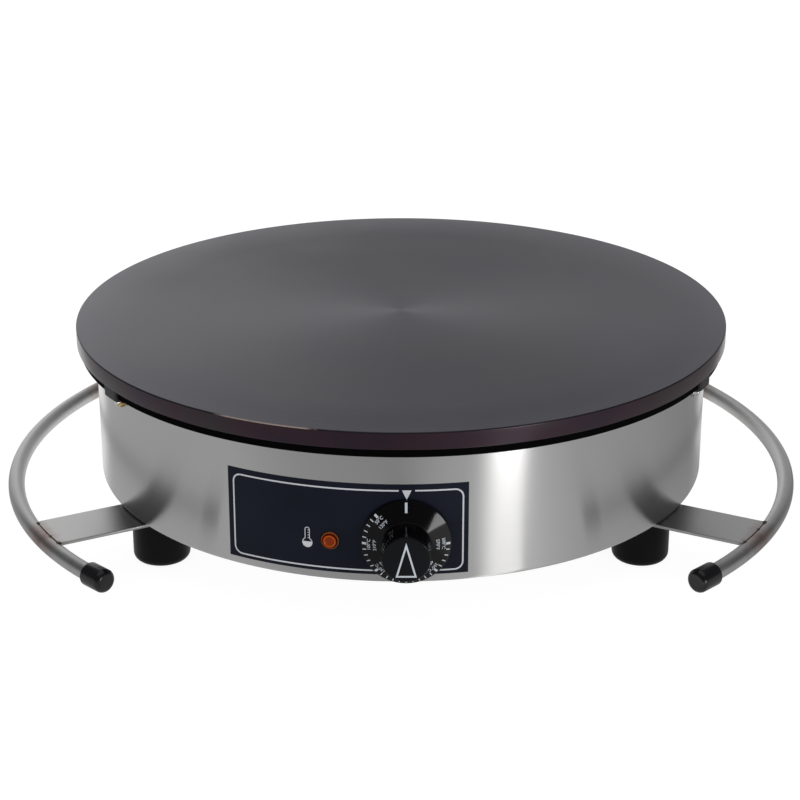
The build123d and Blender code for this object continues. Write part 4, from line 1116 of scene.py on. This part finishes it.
def world():
    """White for the camera; shiny surfaces see white behind, and a dark room with a pale ceiling in front."""
    made = bpy.data.worlds.new("studio")
    bpy.context.scene.world = made
    made.use_nodes = True
    nodes = Nodes(made.node_tree)
    x, y, z = nodes.axes("Generated")
    backdrop = nodes.mix(nodes.fade(x, -0.13, 0.20), LEFT_WHITE, RIGHT_WHITE)
    above = nodes.times(nodes.fade(z, 0.24, 0.52), nodes.fade(x, -0.10, -0.01))
    backdrop = nodes.mix(above, backdrop, BACK_ABOVE)
    low = round_grey(nodes, nodes.math("ARCTAN2", x, nodes.times(y, -1.0)))
    room = nodes.mix(nodes.fade(z, 0.0, 0.15), low, DARK_ROOM)
    room = nodes.mix(nodes.fade(z, 0.72, 0.92), room, OVERHEAD)
    studio = nodes.mix(nodes.fade(y, 0.62, 0.84), room, backdrop)
    rays = nodes.node("LightPath").outputs
    lit = nodes.mix(shiny_ray(nodes, rays), PLAIN_LIGHT, studio)
    seen = nodes.mix(rays["Is Camera Ray"], lit, WHITE)
    nodes.give(nodes.tree.nodes["Background"].inputs["Color"], seen)


def floor_in_reflections(nodes):
    """What shiny surfaces see of the floor: white behind, greys in front, and the strip lamp's gleam."""
    x, y, _ = nodes.axes()
    on_left = nodes.fade(nodes.plus(y, nodes.times(x, 1.19)), -0.27, -0.20)
    on_right = nodes.fade(nodes.math("SUBTRACT", y, nodes.times(x, 1.6)), -0.355, -0.330)
    rear = nodes.times(nodes.times(on_left, on_right), nodes.fade(y, -0.08, -0.02))
    right_side = nodes.mix(nodes.fade(y, 0.04, 0.13), RIGHT_NEAR, RIGHT_FAR)
    backdrop = nodes.mix(nodes.fade(x, 0.0, 0.15), WHITE, right_side)
    across, ahead = nodes.math("SUBTRACT", x, STRIP_AT[0]), nodes.math("SUBTRACT", STRIP_AT[1], y)
    azimuth = nodes.math("ARCTAN2", across, ahead)
    ground = nodes.mix(rear, round_grey(nodes, azimuth), backdrop)
    left = nodes.fade(azimuth, radians(STRIP_LEFT - 7), radians(STRIP_LEFT + 2))
    right = nodes.fade(azimuth, radians(STRIP_RIGHT + 0.6), radians(STRIP_RIGHT - 0.6))
    return nodes.mix(nodes.times(left, right), ground, STRIP_GLEAM)


def floor():
    """A wide white floor that keeps a faint shadow of the object for the camera."""
    mesh = bpy.data.meshes.new("floor")
    corners = [(x * FLOOR_REACH, y * FLOOR_REACH, 0) for x, y in ((-1, -1), (1, -1), (1, 1), (-1, 1))]
    mesh.from_pydata(corners, [], [(0, 1, 2, 3)])
    made = add("floor", mesh)
    material = bpy.data.materials.new("floor")
    material.use_nodes = True
    nodes = Nodes(material.node_tree)
    nodes.tree.nodes.remove(nodes.tree.nodes["Principled BSDF"])
    rays = nodes.node("LightPath").outputs
    paper = nodes.node("BsdfDiffuse", Color=FLOOR_PAPER).outputs[0]
    shaded = nodes.node("BsdfDiffuse", Color=FLOOR_SHADED).outputs[0]
    seen = nodes.join("AddShader", shaded, nodes.node("Emission", Strength=FLOOR_GLOW).outputs[0])
    studio = nodes.node("Emission", Color=floor_in_reflections(nodes)).outputs[0]
    by_camera = nodes.join("MixShader", rays["Is Camera Ray"], paper, seen)
    by_shine = nodes.join("MixShader", shiny_ray(nodes, rays), by_camera, studio)
    nodes.give(nodes.tree.nodes["Material Output"].inputs["Surface"], by_shine)
    mesh.materials.append(material)


def strip_lamp(distance, height, watts):
    """The low, wide lamp to the right of the camera, which the knob and the casing's bright band reflect."""
    light = bpy.data.lights.new("strip", "AREA")
    light.shape = "RECTANGLE"
    light.size, light.size_y = 2 * distance * tan(radians(STRIP_RIGHT - STRIP_LEFT) / 2), height
    light.energy = watts
    made = add("strip", light)
    azimuth = radians(STRIP_LEFT + STRIP_RIGHT) / 2
    made.location = (STRIP_AT[0] + distance * sin(azimuth), STRIP_AT[1] - distance * cos(azimuth), height / 2)
    made.rotation_euler = (pi / 2, 0, azimuth)


def camera():
    """The viewpoint: 1.36 m away, a little above, through a long lens."""
    lens = bpy.data.cameras.new("camera")
    lens.lens = 95.357
    lens.sensor_width = 36.0
    lens.shift_x = -0.00133
    lens.clip_end = 100
    made = add("camera", lens)
    made.location = (0, -1.24496, 0.55763)
    made.rotation_euler = (radians(68.479), 0, 0)
    bpy.context.scene.camera = made


dress_nodes()
cooking_plate()
lug_fasteners()
casing()
for hand in (-1, 1):
    handle_tube(hand)
for corner, (hand, end) in CORNERS.items():
    end_cap(corner, hand, end)
    strap(corner, hand, end)
    foot(corner, hand, end)
panel()
pilot_lamp()
knob()
cable_inlet()

floor()
world()
strip_lamp(distance=1.5, height=0.32, watts=3.0)
camera()
bpy.context.scene.view_settings.view_transform = "Standard"
